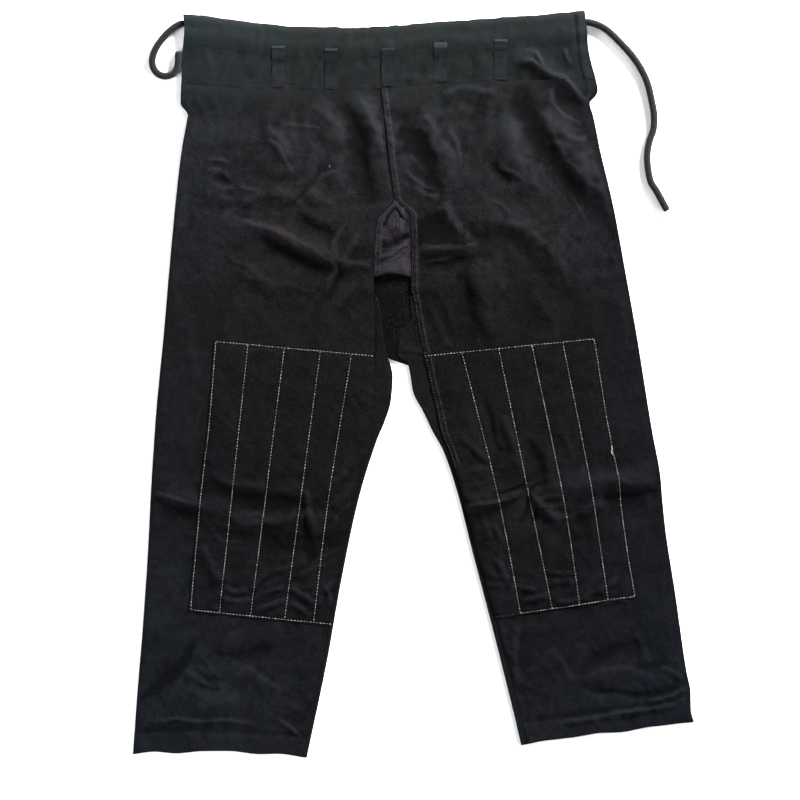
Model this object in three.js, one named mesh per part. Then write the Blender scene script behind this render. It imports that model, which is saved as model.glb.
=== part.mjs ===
// Martial arts trousers, laid out flat with the front up, as faceted cloth walls in millimetres.
//
// Frame: the ground is z = 0 and +Z is up, +Y runs from the hems to the waist, and the wearer's
// right leg lies on the -X side. Left and right are the wearer's throughout. Each leg is a flat
// tube: a back panel on the ground that turns up at the outseam and rolls over at the inner fold,
// and a front panel on top of it that ends at the inseam. Knee patches, the waistband and the
// belt loops lie on the fronts, and a diamond gusset joins the legs at the crotch.

import * as THREE from "three";

// Cloth.
const WALL = 1.2; // one thickness of cotton drill
const SEAM_GAP = 0.4; // clear distance between two pieces that are sewn together
const LAYER_GAP = 0.3; // clear distance between two pieces that lie on each other
const GROUND_MID = WALL / 2; // middle of the cloth that rests on the ground
const FOLD_RADIUS = 1.5; // of the middle of the cloth where a leg's tube folds
const FOLDED_HEIGHT = GROUND_MID + 2 * FOLD_RADIUS; // middle of the upper layer just past a fold
const LOWEST_UPPER_LAYER = GROUND_MID + WALL + LAYER_GAP; // middle of cloth that lies on the back
const LEG_CROWN = 1.4; // how much a leg's front rises between its folds
const FOLD_END_FADE = 0.75; // how much of a fold's height is gone at the ends of its line
const CALM_BESIDE_OUTSEAM = 22; // distance over which the folds come in beside each edge
const CALM_BESIDE_INSEAM = 16;
const CALM_POWER = 0.7;
const ROLL_BEGINS = 0.5; // how far the back passes the inseam where it starts to turn up
const ROLL_COMPLETE = 5.4; // and where its turn is a full half circle

// Drawstring.
const CORD_DIAMETER = 9;
const CORD_SIDES = 10;
const CORD_DEPTH_BELOW_TOP = 13; // from the waist's top edge to the cord's middle
const CORD_RUN_HEIGHT = 6.6; // the cord is pressed flatter inside its casing
const CORD_RUN_GAP = 1.4; // between that stretch and each free end
const CORD_LEFT_STEPS = 20;
const CORD_RIGHT_STEPS = 22;
const CORD_RUN_STEPS = 20;

// Waistband, as distances down from the top edge.
const CASING_FOLD = 7.6; // middle of the rounded fold at the top
const CASING_FLAT_END = 20; // where the casing starts to come down behind the cord
const CASING_END = 42; // the casing's lower stitching
const CASING_CLOTH = CORD_RUN_HEIGHT + 2 * LAYER_GAP + WALL; // ground cloth to casing cloth
const BAND_WALL = 2.4; // the front band is two layers of drill
const BAND_OVER_CASING = CASING_CLOTH + GROUND_MID + (WALL + BAND_WALL) / 2 + LAYER_GAP;
const BAND_LOW_HEIGHT = 5.2; // middle of the front band over its lower half
const BAND_DRAPE_END = 48; // where the front band has come down from the casing
const BAND_STATIONS = [CASING_FLAT_END, 30, 40, 56]; // its lines along the waist
const BACK_BAND_INSET = 0.003; // share of the width by which the back band's ends stand in
const CREASE_RISE = 40; // the crease on the front band grows over this distance down

// Belt loops.
const LOOP_WIDTH = 17;
const LOOP_WALL = 2;
const LOOP_SLACK = 1.8; // how far the middle of a loop stands off the band
const LOOP_CLEARANCE = 0.55; // between a loop's sewn ends and the band
const LOOP_STEPS = 6;
const LOOP_ROUNDNESS = 0.8; // power of the sine that the slack follows

// Colours.
const FRONT_COLOR = 0x26262c;
const BACK_COLOR = 0x222228;
const PATCH_COLOR = 0x2a282e;
const GUSSET_COLOR = 0x2c2a32;
const FRONT_BAND_COLOR = 0x2a3032;
const BACK_BAND_COLOR = 0x24282a;
const LOOP_COLOR = 0x303436;
const CORD_COLOR = 0x1c1c1e;

// Outline of each leg's outer edge, from the waist to the hem.
const OUTER_EDGE = {
  right: [
    { y: 485, x: -299.6 }, { y: 461, x: -297 }, { y: 430, x: -299.8 }, { y: 390, x: -301.5 },
    { y: 365, x: -302.5 }, { y: 350, x: -293.2 }, { y: 338, x: -295 }, { y: 305, x: -301 },
    { y: 252, x: -307.5 }, { y: 175, x: -315 }, { y: 71, x: -324 }, { y: -45, x: -335 },
    { y: -137, x: -341 }, { y: -215, x: -345 }, { y: -319, x: -352 }, { y: -397, x: -358.5 },
    { y: -480, x: -364.5 },
  ],
  left: [
    { y: 485, x: 221.3 }, { y: 461, x: 224.5 }, { y: 435, x: 227 }, { y: 417, x: 230.8 },
    { y: 396, x: 236.5 }, { y: 382, x: 239.2 }, { y: 376, x: 237.5 }, { y: 366, x: 228.8 },
    { y: 349, x: 233.4 }, { y: 305, x: 242.5 }, { y: 227, x: 260.7 }, { y: 149, x: 275 },
    { y: 71, x: 289 }, { y: -59, x: 310 }, { y: -120, x: 321 }, { y: -150, x: 323.5 },
    { y: -189, x: 327.5 }, { y: -267, x: 339.5 }, { y: -371, x: 354.5 }, { y: -400, x: 360 },
    { y: -424, x: 360.5 }, { y: -439, x: 364.5 },
  ],
};

// Inner edge of each leg: where the front is sewn, and where the leg's tube folds. Above the crotch
// the two are one line, which is the rise seam and then the side of the gusset.
const INNER_EDGE = {
  right: [
    { y: 400, seam: -45.4, fold: -45.4 }, { y: 374, seam: -42.7, fold: -42.7 },
    { y: 340, seam: -38.4, fold: -38.4 }, { y: 306, seam: -34.8, fold: -34.8 },
    { y: 261, seam: -29.1, fold: -29.1 }, { y: 241, seam: -26, fold: -26 },
    { y: 211, seam: -48, fold: -48 }, { y: 178, seam: -51, fold: -51 },
    { y: 123, seam: -51.4, fold: -51.4 }, { y: 108, seam: -50.5, fold: -45 },
    { y: 84, seam: -49.8, fold: -41.5 }, { y: 51, seam: -50, fold: -37.2 },
    { y: 12, seam: -51.4, fold: -26.8 }, { y: -20, seam: -51.4, fold: -29.3 },
    { y: -46, seam: -52, fold: -37 }, { y: -72, seam: -55, fold: -47.5 },
    { y: -150, seam: -76.5, fold: -71.5 }, { y: -254, seam: -98.5, fold: -93.5 },
    { y: -358, seam: -117, fold: -112 }, { y: -484, seam: -144, fold: -138.5 },
  ],
  left: [
    { y: 400, seam: -44.6, fold: -44.6 }, { y: 374, seam: -41.9, fold: -41.9 },
    { y: 340, seam: -37.6, fold: -37.6 }, { y: 306, seam: -34, fold: -34 },
    { y: 261, seam: -28.3, fold: -28.3 }, { y: 241, seam: -25.2, fold: -25.2 },
    { y: 220, seam: -5, fold: -5 }, { y: 178, seam: -3.3, fold: -3.3 },
    { y: 123, seam: -3.3, fold: -3.3 }, { y: 108, seam: 0, fold: -5.5 },
    { y: 86, seam: 3.4, fold: -3 }, { y: 62, seam: 8, fold: -20.4 },
    { y: 42, seam: 12.5, fold: -21.5 }, { y: 29, seam: 15.6, fold: -7.4 },
    { y: -7, seam: 23.3, fold: -0.7 }, { y: -33, seam: 29.8, fold: 12.4 },
    { y: -59, seam: 35, fold: 24.5 }, { y: -85, seam: 45, fold: 38.5 },
    { y: -137, seam: 62, fold: 56.2 }, { y: -215, seam: 82, fold: 76.2 },
    { y: -319, seam: 110, fold: 103.4 }, { y: -465, seam: 148, fold: 139.8 },
  ],
};

// Lines across each leg: a line starts at height `outer` on the outer edge and ends at height
// `inner` on the inner edge, and `bow` lifts its middle. `turned` says how far the outseam is
// closed, 0 at the open side vent and 1 below it. The knee patch's side edge crosses the line at
// the fraction `patch` of it, and `steps` even steps lead down to the next line.
const CROSS_LINES = {
  right: [
    { name: "band seam", outer: 390, inner: 384, bow: -5, turned: 0, patch: 0.24, steps: 3 },
    { name: "vent end", outer: 350, inner: 341, bow: -3, turned: 0, patch: 0.24, steps: 3 },
    { name: "hip", outer: 290, inner: 284, bow: 0, turned: 1, patch: 0.24, steps: 7 },
    { name: "hood", outer: 152, inner: 137, bow: 0, turned: 1, patch: 0.24, steps: 6 },
    { name: "patch top", outer: 64, inner: 39, bow: 0, turned: 1, patch: 0.242, steps: 9 },
    { name: "patch bottom", outer: -288, inner: -313, bow: 0, turned: 1, patch: 0.241, steps: 5 },
    { name: "hem edge", outer: -480, inner: -484, bow: 5, turned: 1, patch: 0.24, steps: 0 },
  ],
  left: [
    { name: "band seam", outer: 396, inner: 384, bow: 3, turned: 0, patch: 0.2, steps: 4 },
    { name: "vent end", outer: 364, inner: 346, bow: 1, turned: 0, patch: 0.2, steps: 3 },
    { name: "hip", outer: 300, inner: 284, bow: 0, turned: 1, patch: 0.2, steps: 7 },
    { name: "hood", outer: 155, inner: 137, bow: 0, turned: 1, patch: 0.2, steps: 6 },
    { name: "patch top", outer: 67, inner: 39, bow: 0, turned: 1, patch: 0.194, steps: 9 },
    { name: "patch bottom", outer: -269, inner: -304, bow: 0, turned: 1, patch: 0.216, steps: 5 },
    { name: "hem edge", outer: -439, inner: -465, bow: 0, turned: 1, patch: 0.22, steps: 0 },
  ],
};

// The waist's top edge, which sags between the hips.
const WAIST_TOP = [
  { x: -300, y: 481.5 }, { x: -250, y: 476 }, { x: -200, y: 469 }, { x: -120, y: 463.5 },
  { x: -68, y: 463.8 }, { x: 0, y: 468 }, { x: 90, y: 475 }, { x: 165, y: 480 },
  { x: 222, y: 484.9 },
];

// How much the fronts' inner edges rise along the rise seam and the gusset.
const INNER_LIFT = [
  { y: 400, lift: 1.4 }, { y: 300, lift: 1.2 }, { y: 200, lift: 1.6 }, { y: 150, lift: 2.5 },
  { y: 128, lift: 2.5 }, { y: 106, lift: 0 }, { y: -500, lift: 0 },
];

// The largest folds of the fronts: ridges (height above 0) and troughs along short lines.
const FOLDS = [
  { line: [[-262, 206], [-185, 201], [-133, 172], [-58, 149]], width: 13, height: 4.5 },
  { line: [[-215, 184], [-160, 168], [-95, 138]], width: 14, height: -3.2 },
  { line: [[-190, 318], [-121, 279]], width: 30, height: 2.6 },
  { line: [[-92, 365], [-76, 330], [-60, 281]], width: 15, height: -3.2 },
  { line: [[-71, 371], [-52, 331], [-46, 250]], width: 13, height: 3.6 },
  { line: [[-335, -141], [-277, -153], [-235, -158]], width: 16, height: 4.4 },
  { line: [[-228, -150], [-197, -153], [-160, -160]], width: 13, height: -2.8 },
  { line: [[-235, -170], [-197, -179], [-150, -172]], width: 12, height: 2.8 },
  { line: [[-350, -408], [-321, -381], [-286, -345]], width: 14, height: -3.2 },
  { line: [[-302, -368], [-270, -388], [-216, -396]], width: 14, height: -2.6 },
  { line: [[-283, -414], [-216, -406]], width: 14, height: 2.4 },
  { line: [[-17, 352], [8, 305], [38, 250]], width: 17, height: -3.2 },
  { line: [[141, 374], [168, 319], [200, 262], [236, 205]], width: 19, height: -3.4 },
  { line: [[112, 352], [140, 290], [172, 240]], width: 22, height: 2.8 },
  { line: [[186, 352], [214, 300], [243, 248]], width: 18, height: 3 },
  { line: [[28, 222], [54, 196]], width: 19, height: -3.4 },
  { line: [[8, 178], [40, 182], [72, 180]], width: 11, height: 4.6 },
  { line: [[4, 158], [40, 160], [74, 168]], width: 12, height: -3 },
  { line: [[60, -158], [105, -150], [146, -144]], width: 13, height: 4.2 },
  { line: [[172, -136], [248, -129], [318, -131]], width: 17, height: 5 },
  { line: [[232, -162], [304, -156]], width: 18, height: -3 },
  { line: [[208, -384], [231, -362], [258, -351], [306, -344], [326, -362]], width: 13, height: -2.8 },
  { line: [[240, -377], [300, -379]], width: 16, height: 2.8 },
];

// The crease that runs from the waistband to the left side vent.
const HIP_CREASE = { line: [[126, 430], [158, 421], [222, 372]], width: 13, height: 4 };

// The belt loops: middle across, top and bottom.
const BELT_LOOPS = [
  { name: "far_right", x: -175, top: 438.5, bottom: 386.5 },
  { name: "mid_right", x: -106.5, top: 435, bottom: 383.5 },
  { name: "centre", x: -33, top: 435.5, bottom: 387.5 },
  { name: "mid_left", x: 35, top: 443, bottom: 392 },
  { name: "far_left", x: 113, top: 447, bottom: 395.5 },
];

// The gusset, along its middle from the front apex to the hood, under it to the crotch, and back
// along the ground. `arch` is how far the middle of a line across stands above its two ends.
const GUSSET_PATH = [
  { y: 238.5, z: 5, arch: 0 }, { y: 221, z: 5.1, arch: 0.8 }, { y: 200, z: 5.3, arch: 2 },
  { y: 175, z: 5.7, arch: 3.4 }, { y: 157, z: 6, arch: 4.2 }, { y: 144, z: 6.1, arch: 4.6 },
  { y: 139.9, z: 5.8, arch: 4.3 }, { y: 139.2, z: 5.1, arch: 3.7 }, { y: 139.9, z: 4.4, arch: 3.1 },
  { y: 144, z: 4.1, arch: 2.6 }, { y: 153, z: 4.1, arch: 1.9 }, { y: 156.5, z: 3.8, arch: 1.6 },
  { y: 157.2, z: 3.2, arch: 1.3 }, { y: 156.5, z: 2.6, arch: 1 }, { y: 153, z: 2.3, arch: 0.8 },
  { y: 121, z: 2.2, arch: 0.4 }, { y: 104.5, z: 2.2, arch: 0 }, { y: 88, z: 2.2, arch: 0 },
  { y: 72, z: 2.2, arch: 0 }, { y: 55.5, z: 2.2, arch: 0 }, { y: 48.6, z: 2.1, arch: 0 },
  { y: 47.7, z: 1.4, arch: 0 }, { y: 48.6, z: 0.7, arch: 0 }, { y: 55.5, z: GROUND_MID, arch: 0 },
  { y: 72, z: GROUND_MID, arch: 0 }, { y: 88, z: GROUND_MID, arch: 0 },
  { y: 104.5, z: GROUND_MID, arch: 0 }, { y: 121, z: GROUND_MID, arch: 0 },
  { y: 158, z: GROUND_MID, arch: 0 }, { y: 200, z: GROUND_MID, arch: 0 },
  { y: 221, z: GROUND_MID, arch: 0 }, { y: 238.5, z: GROUND_MID, arch: 0 },
];

// The drawstring's free ends, from inside the casing's mouth to the cut end.
const DRAWSTRING_LEFT_ROUTE = [
  [223, 470.8, 5.1], [230, 469.6, 4.9], [241.5, 465.8, 4.6], [253, 458.5, 4.6],
  [269.5, 442.5, 4.6], [283.5, 427, 4.6], [295, 410, 4.6], [303.5, 391.5, 4.6],
  [309, 369.5, 4.6], [312.4, 348.5, 4.6], [311.5, 331, 4.6], [306.5, 316, 4.6],
  [303.6, 300, 4.6], [304.6, 279, 4.6], [308.5, 262, 4.6], [314.6, 252.5, 4.6],
  [322, 239, 4.6], [329.5, 225.5, 4.6],
];
const DRAWSTRING_RIGHT_ROUTE = [
  [-297.8, 468.4, 5.1], [-303, 467.6, 5], [-309, 464.6, 4.7], [-317.5, 458.2, 4.6],
  [-325.5, 449.5, 4.6], [-333, 439, 4.6], [-337.6, 428.5, 4.6], [-339.2, 418.5, 4.6],
  [-337, 409.5, 4.6], [-331, 402.8, 4.6], [-322.4, 400.2, 4.6], [-313.7, 402.6, 4.6],
  [-307.6, 409.2, 4.6], [-305.6, 418.5, 4.6], [-305.6, 432, 4.6],
];

// ---------------------------------------------------------------------------------------------
// Curves through the tables.

// A smooth curve through the rows of a table that never overshoots them (monotone cubic).
function curveThrough(rows, along, value) {
  const sorted = [...rows].sort((a, b) => a[along] - b[along]);
  const s = sorted.map((row) => row[along]);
  const v = sorted.map((row) => row[value]);
  const slope = v.slice(1).map((next, i) => (next - v[i]) / (s[i + 1] - s[i]));
  const tangent = v.map((_, i) => {
    if (i === 0) return slope[0];
    if (i === v.length - 1) return slope[i - 1];
    const [before, after] = [slope[i - 1], slope[i]];
    return before * after <= 0 ? 0 : (2 * before * after) / (before + after);
  });
  return (at) => {
    const t = THREE.MathUtils.clamp(at, s[0], s[s.length - 1]);
    const i = Math.min(Math.max(s.findIndex((knot) => knot > t) - 1, 0), s.length - 2);
    const k = t >= s[s.length - 2] ? s.length - 2 : i;
    const h = s[k + 1] - s[k];
    const f = (t - s[k]) / h;
    return (
      v[k] * (1 + 2 * f) * (1 - f) ** 2 +
      v[k + 1] * f * f * (3 - 2 * f) +
      h * (tangent[k] * f * (1 - f) ** 2 - tangent[k + 1] * f * f * (1 - f))
    );
  };
}

const waistTop = curveThrough(WAIST_TOP, "x", "y");
const innerLift = curveThrough(INNER_LIFT, "y", "lift");

// One leg's edge curves, and the lines across it that its panels' grids follow.
function legCurves(side) {
  const named = CROSS_LINES[side];
  const lines = named.slice(1).flatMap((next, i) => {
    const from = named[i];
    const blend = (key, part) => THREE.MathUtils.lerp(from[key], next[key], part);
    return Array.from({ length: from.steps }, (_, k) => ({
      outer: blend("outer", k / from.steps),
      inner: blend("inner", k / from.steps),
      bow: blend("bow", k / from.steps),
      turned: blend("turned", k / from.steps),
      patch: blend("patch", k / from.steps),
    }));
  });
  lines.push(named[named.length - 1]);
  const outerAt = (name) => named.find((line) => line.name === name).outer;
  return {
    outerX: curveThrough(OUTER_EDGE[side], "y", "x"),
    seamX: curveThrough(INNER_EDGE[side], "y", "seam"),
    foldX: curveThrough(INNER_EDGE[side], "y", "fold"),
    lines,
    patchTop: outerAt("patch top"),
    patchBottom: outerAt("patch bottom"),
  };
}

const LEGS = { right: legCurves("right"), left: legCurves("left") };

// ---------------------------------------------------------------------------------------------
// Cloth walls.

// A closed wall of the given thickness about a grid of points, which is a list of rows.
function clothWall(grid, thickness) {
  const rows = grid.length;
  const columns = grid[0].length;
  const at = (i, j) =>
    grid[THREE.MathUtils.clamp(i, 0, rows - 1)][THREE.MathUtils.clamp(j, 0, columns - 1)];
  const positions = [];
  for (const side of [1, -1]) {
    for (let i = 0; i < rows; i += 1) {
      for (let j = 0; j < columns; j += 1) {
        const down = at(i + 1, j).clone().sub(at(i - 1, j));
        const across = at(i, j + 1).clone().sub(at(i, j - 1));
        const normal = across.cross(down).normalize();
        positions.push(...at(i, j).clone().addScaledVector(normal, (side * thickness) / 2));
      }
    }
  }
  const upper = (i, j) => i * columns + j;
  const lower = (i, j) => rows * columns + upper(i, j);
  const triangles = [];
  const quad = (a, b, c, d) => triangles.push(a, b, c, a, c, d);
  for (let i = 0; i < rows - 1; i += 1) {
    for (let j = 0; j < columns - 1; j += 1) {
      quad(upper(i, j), upper(i, j + 1), upper(i + 1, j + 1), upper(i + 1, j));
      quad(lower(i, j), lower(i + 1, j), lower(i + 1, j + 1), lower(i, j + 1));
    }
  }
  for (let i = 0; i < rows - 1; i += 1) {
    quad(upper(i, 0), upper(i + 1, 0), lower(i + 1, 0), lower(i, 0));
    const last = columns - 1;
    quad(upper(i + 1, last), upper(i, last), lower(i, last), lower(i + 1, last));
  }
  for (let j = 0; j < columns - 1; j += 1) {
    quad(upper(0, j + 1), upper(0, j), lower(0, j), lower(0, j + 1));
    quad(upper(rows - 1, j), upper(rows - 1, j + 1), lower(rows - 1, j + 1), lower(rows - 1, j));
  }
  return outward(positions, triangles);
}

// A geometry whose faces point out: the triangles are turned if its volume comes out negative.
function outward(positions, triangles) {
  const corner = (k) => new THREE.Vector3().fromArray(positions, 3 * triangles[k]);
  let volume = 0;
  for (let k = 0; k < triangles.length; k += 3) {
    volume += corner(k).dot(corner(k + 1).cross(corner(k + 2)));
  }
  if (volume < 0) triangles.reverse();
  const geometry = new THREE.BufferGeometry();
  geometry.setAttribute("position", new THREE.Float32BufferAttribute(positions, 3));
  geometry.setIndex(triangles);
  return geometry;
}

// Height of one soft ridge or trough at a point: a bell across its line, faded at the line's ends.
function foldHeight({ line, width, height }, x, y) {
  const point = new THREE.Vector2(x, y);
  let nearest = { distance: Infinity, along: 0 };
  for (let k = 0; k < line.length - 1; k += 1) {
    const start = new THREE.Vector2(...line[k]);
    const step = new THREE.Vector2(...line[k + 1]).sub(start);
    const part = THREE.MathUtils.clamp(point.clone().sub(start).dot(step) / step.lengthSq(), 0, 1);
    const distance = point.distanceTo(start.addScaledVector(step, part));
    if (distance < nearest.distance) nearest = { distance, along: (k + part) / (line.length - 1) };
  }
  const fade = 1 - FOLD_END_FADE * (2 * nearest.along - 1) ** 4;
  return height * fade * Math.exp(-((nearest.distance / width) ** 2));
}

const evenSteps = (from, to, steps) =>
  Array.from({ length: steps + 1 }, (_, k) => from + ((to - from) * k) / steps);

const FLAT_ANGLE = 0.01; // a turn below this counts as none
const REACH_SAMPLES = 24;

// A strip that leaves a flat cloth, bends up through `angle` over `bend` millimetres and runs on.
// Returns how far the strip reaches and rises at a distance along it.
function bentStrip(distance, angle, bend) {
  const curved = Math.min(distance, bend);
  const straight = distance - curved;
  if (angle < FLAT_ANGLE) return { reach: distance, rise: 0 };
  const radius = bend / angle;
  const turn = curved / radius;
  return {
    reach: radius * Math.sin(turn) + straight * Math.cos(turn),
    rise: radius * (1 - Math.cos(turn)) + straight * Math.sin(turn),
  };
}

// The furthest that such a strip reaches, with half the wall's thickness where it has turned.
function furthestReach(length, angle, bend) {
  const reaches = evenSteps(0, length, REACH_SAMPLES).map((at) => bentStrip(at, angle, bend).reach);
  return Math.max(...reaches) + (WALL / 2) * Math.sin(Math.min(angle, Math.PI / 2));
}

// ---------------------------------------------------------------------------------------------
// Leg panels.

const OUTER_BEND = (FOLD_RADIUS * Math.PI) / 2; // length of cloth in the quarter turn
const INNER_BEND = FOLD_RADIUS * Math.PI; // length of cloth in the half turn
const OUTER_BEND_STEPS = 2;
const INNER_BEND_STEPS = 3;
const GROUND_STEPS = 3;
const SHORTEST_FLAP = 1; // of the back's cloth past its half turn
const STEPS_BESIDE_PATCH = 3; // across the front, from the outer turn to the patch's side edge
const STEPS_ACROSS_PATCH = 8; // and on to the inseam

// The places along a leg's line across: its width from the outer edge to the front's seam, how far
// the back rolls past the seam, and a function from a distance along it to a point on the plan.
function crossLine(leg, { outer, inner, bow, turned, patch }) {
  const start = new THREE.Vector2(leg.outerX(outer), outer);
  const end = new THREE.Vector2(leg.seamX(inner), inner);
  const width = end.distanceTo(start);
  const direction = end.clone().sub(start).normalize();
  const roll = Math.abs(leg.foldX(inner) - leg.seamX(inner));
  const plan = (distance) => {
    const part = distance / width;
    const point = start.clone().addScaledVector(direction, distance);
    point.y += bow * 4 * part * (1 - part);
    return point;
  };
  return { innerY: inner, width, roll, plan, turned, patchEdge: patch * width };
}

// The lines of a panel's grid: the first one stops short of the waistband by half the seam's gap.
function panelLines(leg) {
  const [first, ...rest] = leg.lines;
  const lowered = { ...first, outer: first.outer - SEAM_GAP / 2, inner: first.inner - SEAM_GAP / 2 };
  return [lowered, ...rest].map((line) => crossLine(leg, line));
}

// Height of the middle of the front's cloth: a low crown and the folds, both calm at the edges.
function frontHeight(line, distance, point) {
  const part = distance / line.width;
  const halfTurned = 4 * line.turned * (1 - line.turned);
  const outerHeight =
    THREE.MathUtils.lerp(LOWEST_UPPER_LAYER, FOLDED_HEIGHT, line.turned) + halfTurned;
  const innerHeight = FOLDED_HEIGHT + innerLift(line.innerY);
  const base = THREE.MathUtils.lerp(outerHeight, innerHeight, THREE.MathUtils.smoothstep(part, 0, 1));
  const fromOuter = Math.max(0, distance - FOLD_RADIUS - WALL / 2) / CALM_BESIDE_OUTSEAM;
  const fromInner = Math.max(0, line.width - distance) / CALM_BESIDE_INSEAM;
  const calm = Math.min(1, fromOuter ** CALM_POWER, fromInner ** CALM_POWER);
  const crown = LEG_CROWN * Math.sqrt(Math.max(0, 4 * part * (1 - part)));
  const relief = FOLDS.reduce((sum, fold) => sum + foldHeight(fold, point.x, point.y), 0);
  return Math.max(LOWEST_UPPER_LAYER, base + crown + relief * calm);
}

// Distances along the quarter turn, from the outseam to where the turn begins.
function outerTurn(line) {
  return evenSteps(OUTER_BEND - (SEAM_GAP / 2) * line.turned, 0, OUTER_BEND_STEPS).slice(0, -1);
}

// The front's grid: each row turns down at the outseam, unless the vent is open, and runs to the seam.
function frontGrid(leg) {
  return panelLines(leg).map((line) => {
    const angle = (line.turned * Math.PI) / 2;
    const reach = furthestReach(OUTER_BEND, angle, OUTER_BEND);
    const top = frontHeight(line, reach, line.plan(reach));
    const turnedDown = outerTurn(line).map((distance) => {
      const strip = bentStrip(distance, angle, OUTER_BEND);
      const point = line.plan(reach - strip.reach);
      return new THREE.Vector3(point.x, point.y, top - strip.rise);
    });
    const beside = evenSteps(reach, line.patchEdge, STEPS_BESIDE_PATCH).slice(0, -1);
    const covered = evenSteps(line.patchEdge, line.width - SEAM_GAP / 2, STEPS_ACROSS_PATCH);
    const across = [...beside, ...covered].map((distance) => {
      const point = line.plan(distance);
      return new THREE.Vector3(point.x, point.y, frontHeight(line, distance, point));
    });
    return [...turnedDown, ...across];
  });
}

// The back's grid: up at the outseam, along the ground, and rolled over the inner fold to the inseam.
function backGrid(leg) {
  return panelLines(leg).map((line) => {
    const outerAngle = (line.turned * Math.PI) / 2;
    const innerAngle = Math.PI * THREE.MathUtils.smoothstep(line.roll, ROLL_BEGINS, ROLL_COMPLETE);
    const flap = Math.max(SHORTEST_FLAP, line.roll - FOLD_RADIUS - (WALL + SEAM_GAP) / 2);
    const outerReach = furthestReach(OUTER_BEND, outerAngle, OUTER_BEND);
    const innerReach = furthestReach(INNER_BEND + flap, innerAngle, INNER_BEND) + SEAM_GAP / 2;
    const groundEnd = line.width + line.roll - innerReach;
    const place = (distance, rise) => {
      const point = line.plan(distance);
      return new THREE.Vector3(point.x, point.y, GROUND_MID + rise);
    };
    const outer = outerTurn(line).map((distance) => {
      const strip = bentStrip(distance, outerAngle, OUTER_BEND);
      return place(outerReach - strip.reach, strip.rise);
    });
    const ground = evenSteps(outerReach, groundEnd, GROUND_STEPS).map((distance) => place(distance, 0));
    const alongRoll = [...evenSteps(0, INNER_BEND, INNER_BEND_STEPS).slice(1), INNER_BEND + flap];
    const inner = alongRoll.map((distance) => {
      const strip = bentStrip(distance, innerAngle, INNER_BEND);
      return place(groundEnd + strip.reach, strip.rise);
    });
    return [...outer, ...ground, ...inner];
  });
}

// A grid moved out along its own normals.
function movedOut(grid, distance) {
  return grid.map((row, i) =>
    row.map((point, j) => {
      const down = (grid[i + 1] ?? row)[j].clone().sub((grid[i - 1] ?? row)[j]);
      const across = (row[j + 1] ?? point).clone().sub(row[j - 1] ?? point);
      const normal = across.cross(down).normalize();
      return point.clone().addScaledVector(normal, normal.z < 0 ? -distance : distance);
    }),
  );
}

// The knee patch: the front's own points between two rows, from one grid line to the inseam.
function patchGrid(leg, front) {
  const covered = ({ outer }) => outer <= leg.patchTop && outer >= leg.patchBottom;
  const raised = movedOut(front, WALL + LAYER_GAP);
  const rows = raised.filter((_, i) => covered(leg.lines[i]));
  return rows.map((row) => row.slice(OUTER_BEND_STEPS + STEPS_BESIDE_PATCH));
}

// ---------------------------------------------------------------------------------------------
// Waistband. A place on it is a part across, 0 at the right vent and 1 at the left one, and a
// distance down from the top edge.

const BAND_STEPS = 18;
const SEAM_PART = 0.5;

// The lower seam at a part across, from the fronts' top lines.
function bandSeam(part) {
  const onRight = part < SEAM_PART;
  const leg = onRight ? LEGS.right : LEGS.left;
  const line = crossLine(leg, leg.lines[0]);
  const fraction = onRight ? part / SEAM_PART : (1 - part) / (1 - SEAM_PART);
  return line.plan(fraction * line.width);
}

// A point of the band's plan: down a straight line from the top edge to the seam, with its ends
// on the outlines of the two side edges.
function bandPlan(part, down) {
  const seam = bandSeam(part);
  const ends = (y) => [LEGS.right.outerX(y), LEGS.left.outerX(y)];
  const [seamRight, seamLeft] = ends(seam.y);
  const across = THREE.MathUtils.clamp((seam.x - seamRight) / (seamLeft - seamRight), 0, 1);
  const [topRight, topLeft] = ends(WAIST_TOP[0].y);
  const topY = waistTop(THREE.MathUtils.lerp(topRight, topLeft, across));
  const y = topY - down;
  const [right, left] = ends(y);
  return { x: THREE.MathUtils.lerp(right, left, across), y, height: topY - seam.y };
}

// Height of the middle of the front band at a distance down, without its crease.
const bandDrop = (down) => THREE.MathUtils.smoothstep(down, CASING_FLAT_END, BAND_DRAPE_END);
const bandHeight = (down) =>
  THREE.MathUtils.lerp(BAND_OVER_CASING, BAND_LOW_HEIGHT, bandDrop(down));

// The way down the front band: a quarter turn over the casing's fold, then down to the seam.
function frontBandPath(length) {
  const centre = GROUND_MID + CASING_CLOTH / 2;
  const radius = BAND_OVER_CASING - centre;
  const bend = evenSteps(0, Math.PI / 2, 3).map((angle) => ({
    down: CASING_FOLD - radius * Math.cos(angle),
    z: centre + radius * Math.sin(angle),
  }));
  const flat = BAND_STATIONS.map((down) => ({ down, z: bandHeight(down) }));
  return [...bend, ...flat, { down: length - SEAM_GAP / 2, z: bandHeight(length) }];
}

// The way round the back band: along the ground to the fold, over the cord, and down to its stitching.
function backBandPath(length) {
  const radius = CASING_CLOTH / 2;
  const ground = [length - SEAM_GAP, CASING_END].map((down) => ({ down, z: GROUND_MID }));
  const bend = evenSteps(0, Math.PI, 5).map((angle) => ({
    down: CASING_FOLD - radius * Math.sin(angle),
    z: GROUND_MID + radius * (1 - Math.cos(angle)),
  }));
  const over = [
    { down: CASING_FLAT_END, z: GROUND_MID + CASING_CLOTH },
    { down: (CASING_FLAT_END + CASING_END) / 2, z: GROUND_MID + CASING_CLOTH / 2 },
    { down: CASING_END, z: LOWEST_UPPER_LAYER },
  ];
  return [...ground, ...bend, ...over];
}

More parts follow.
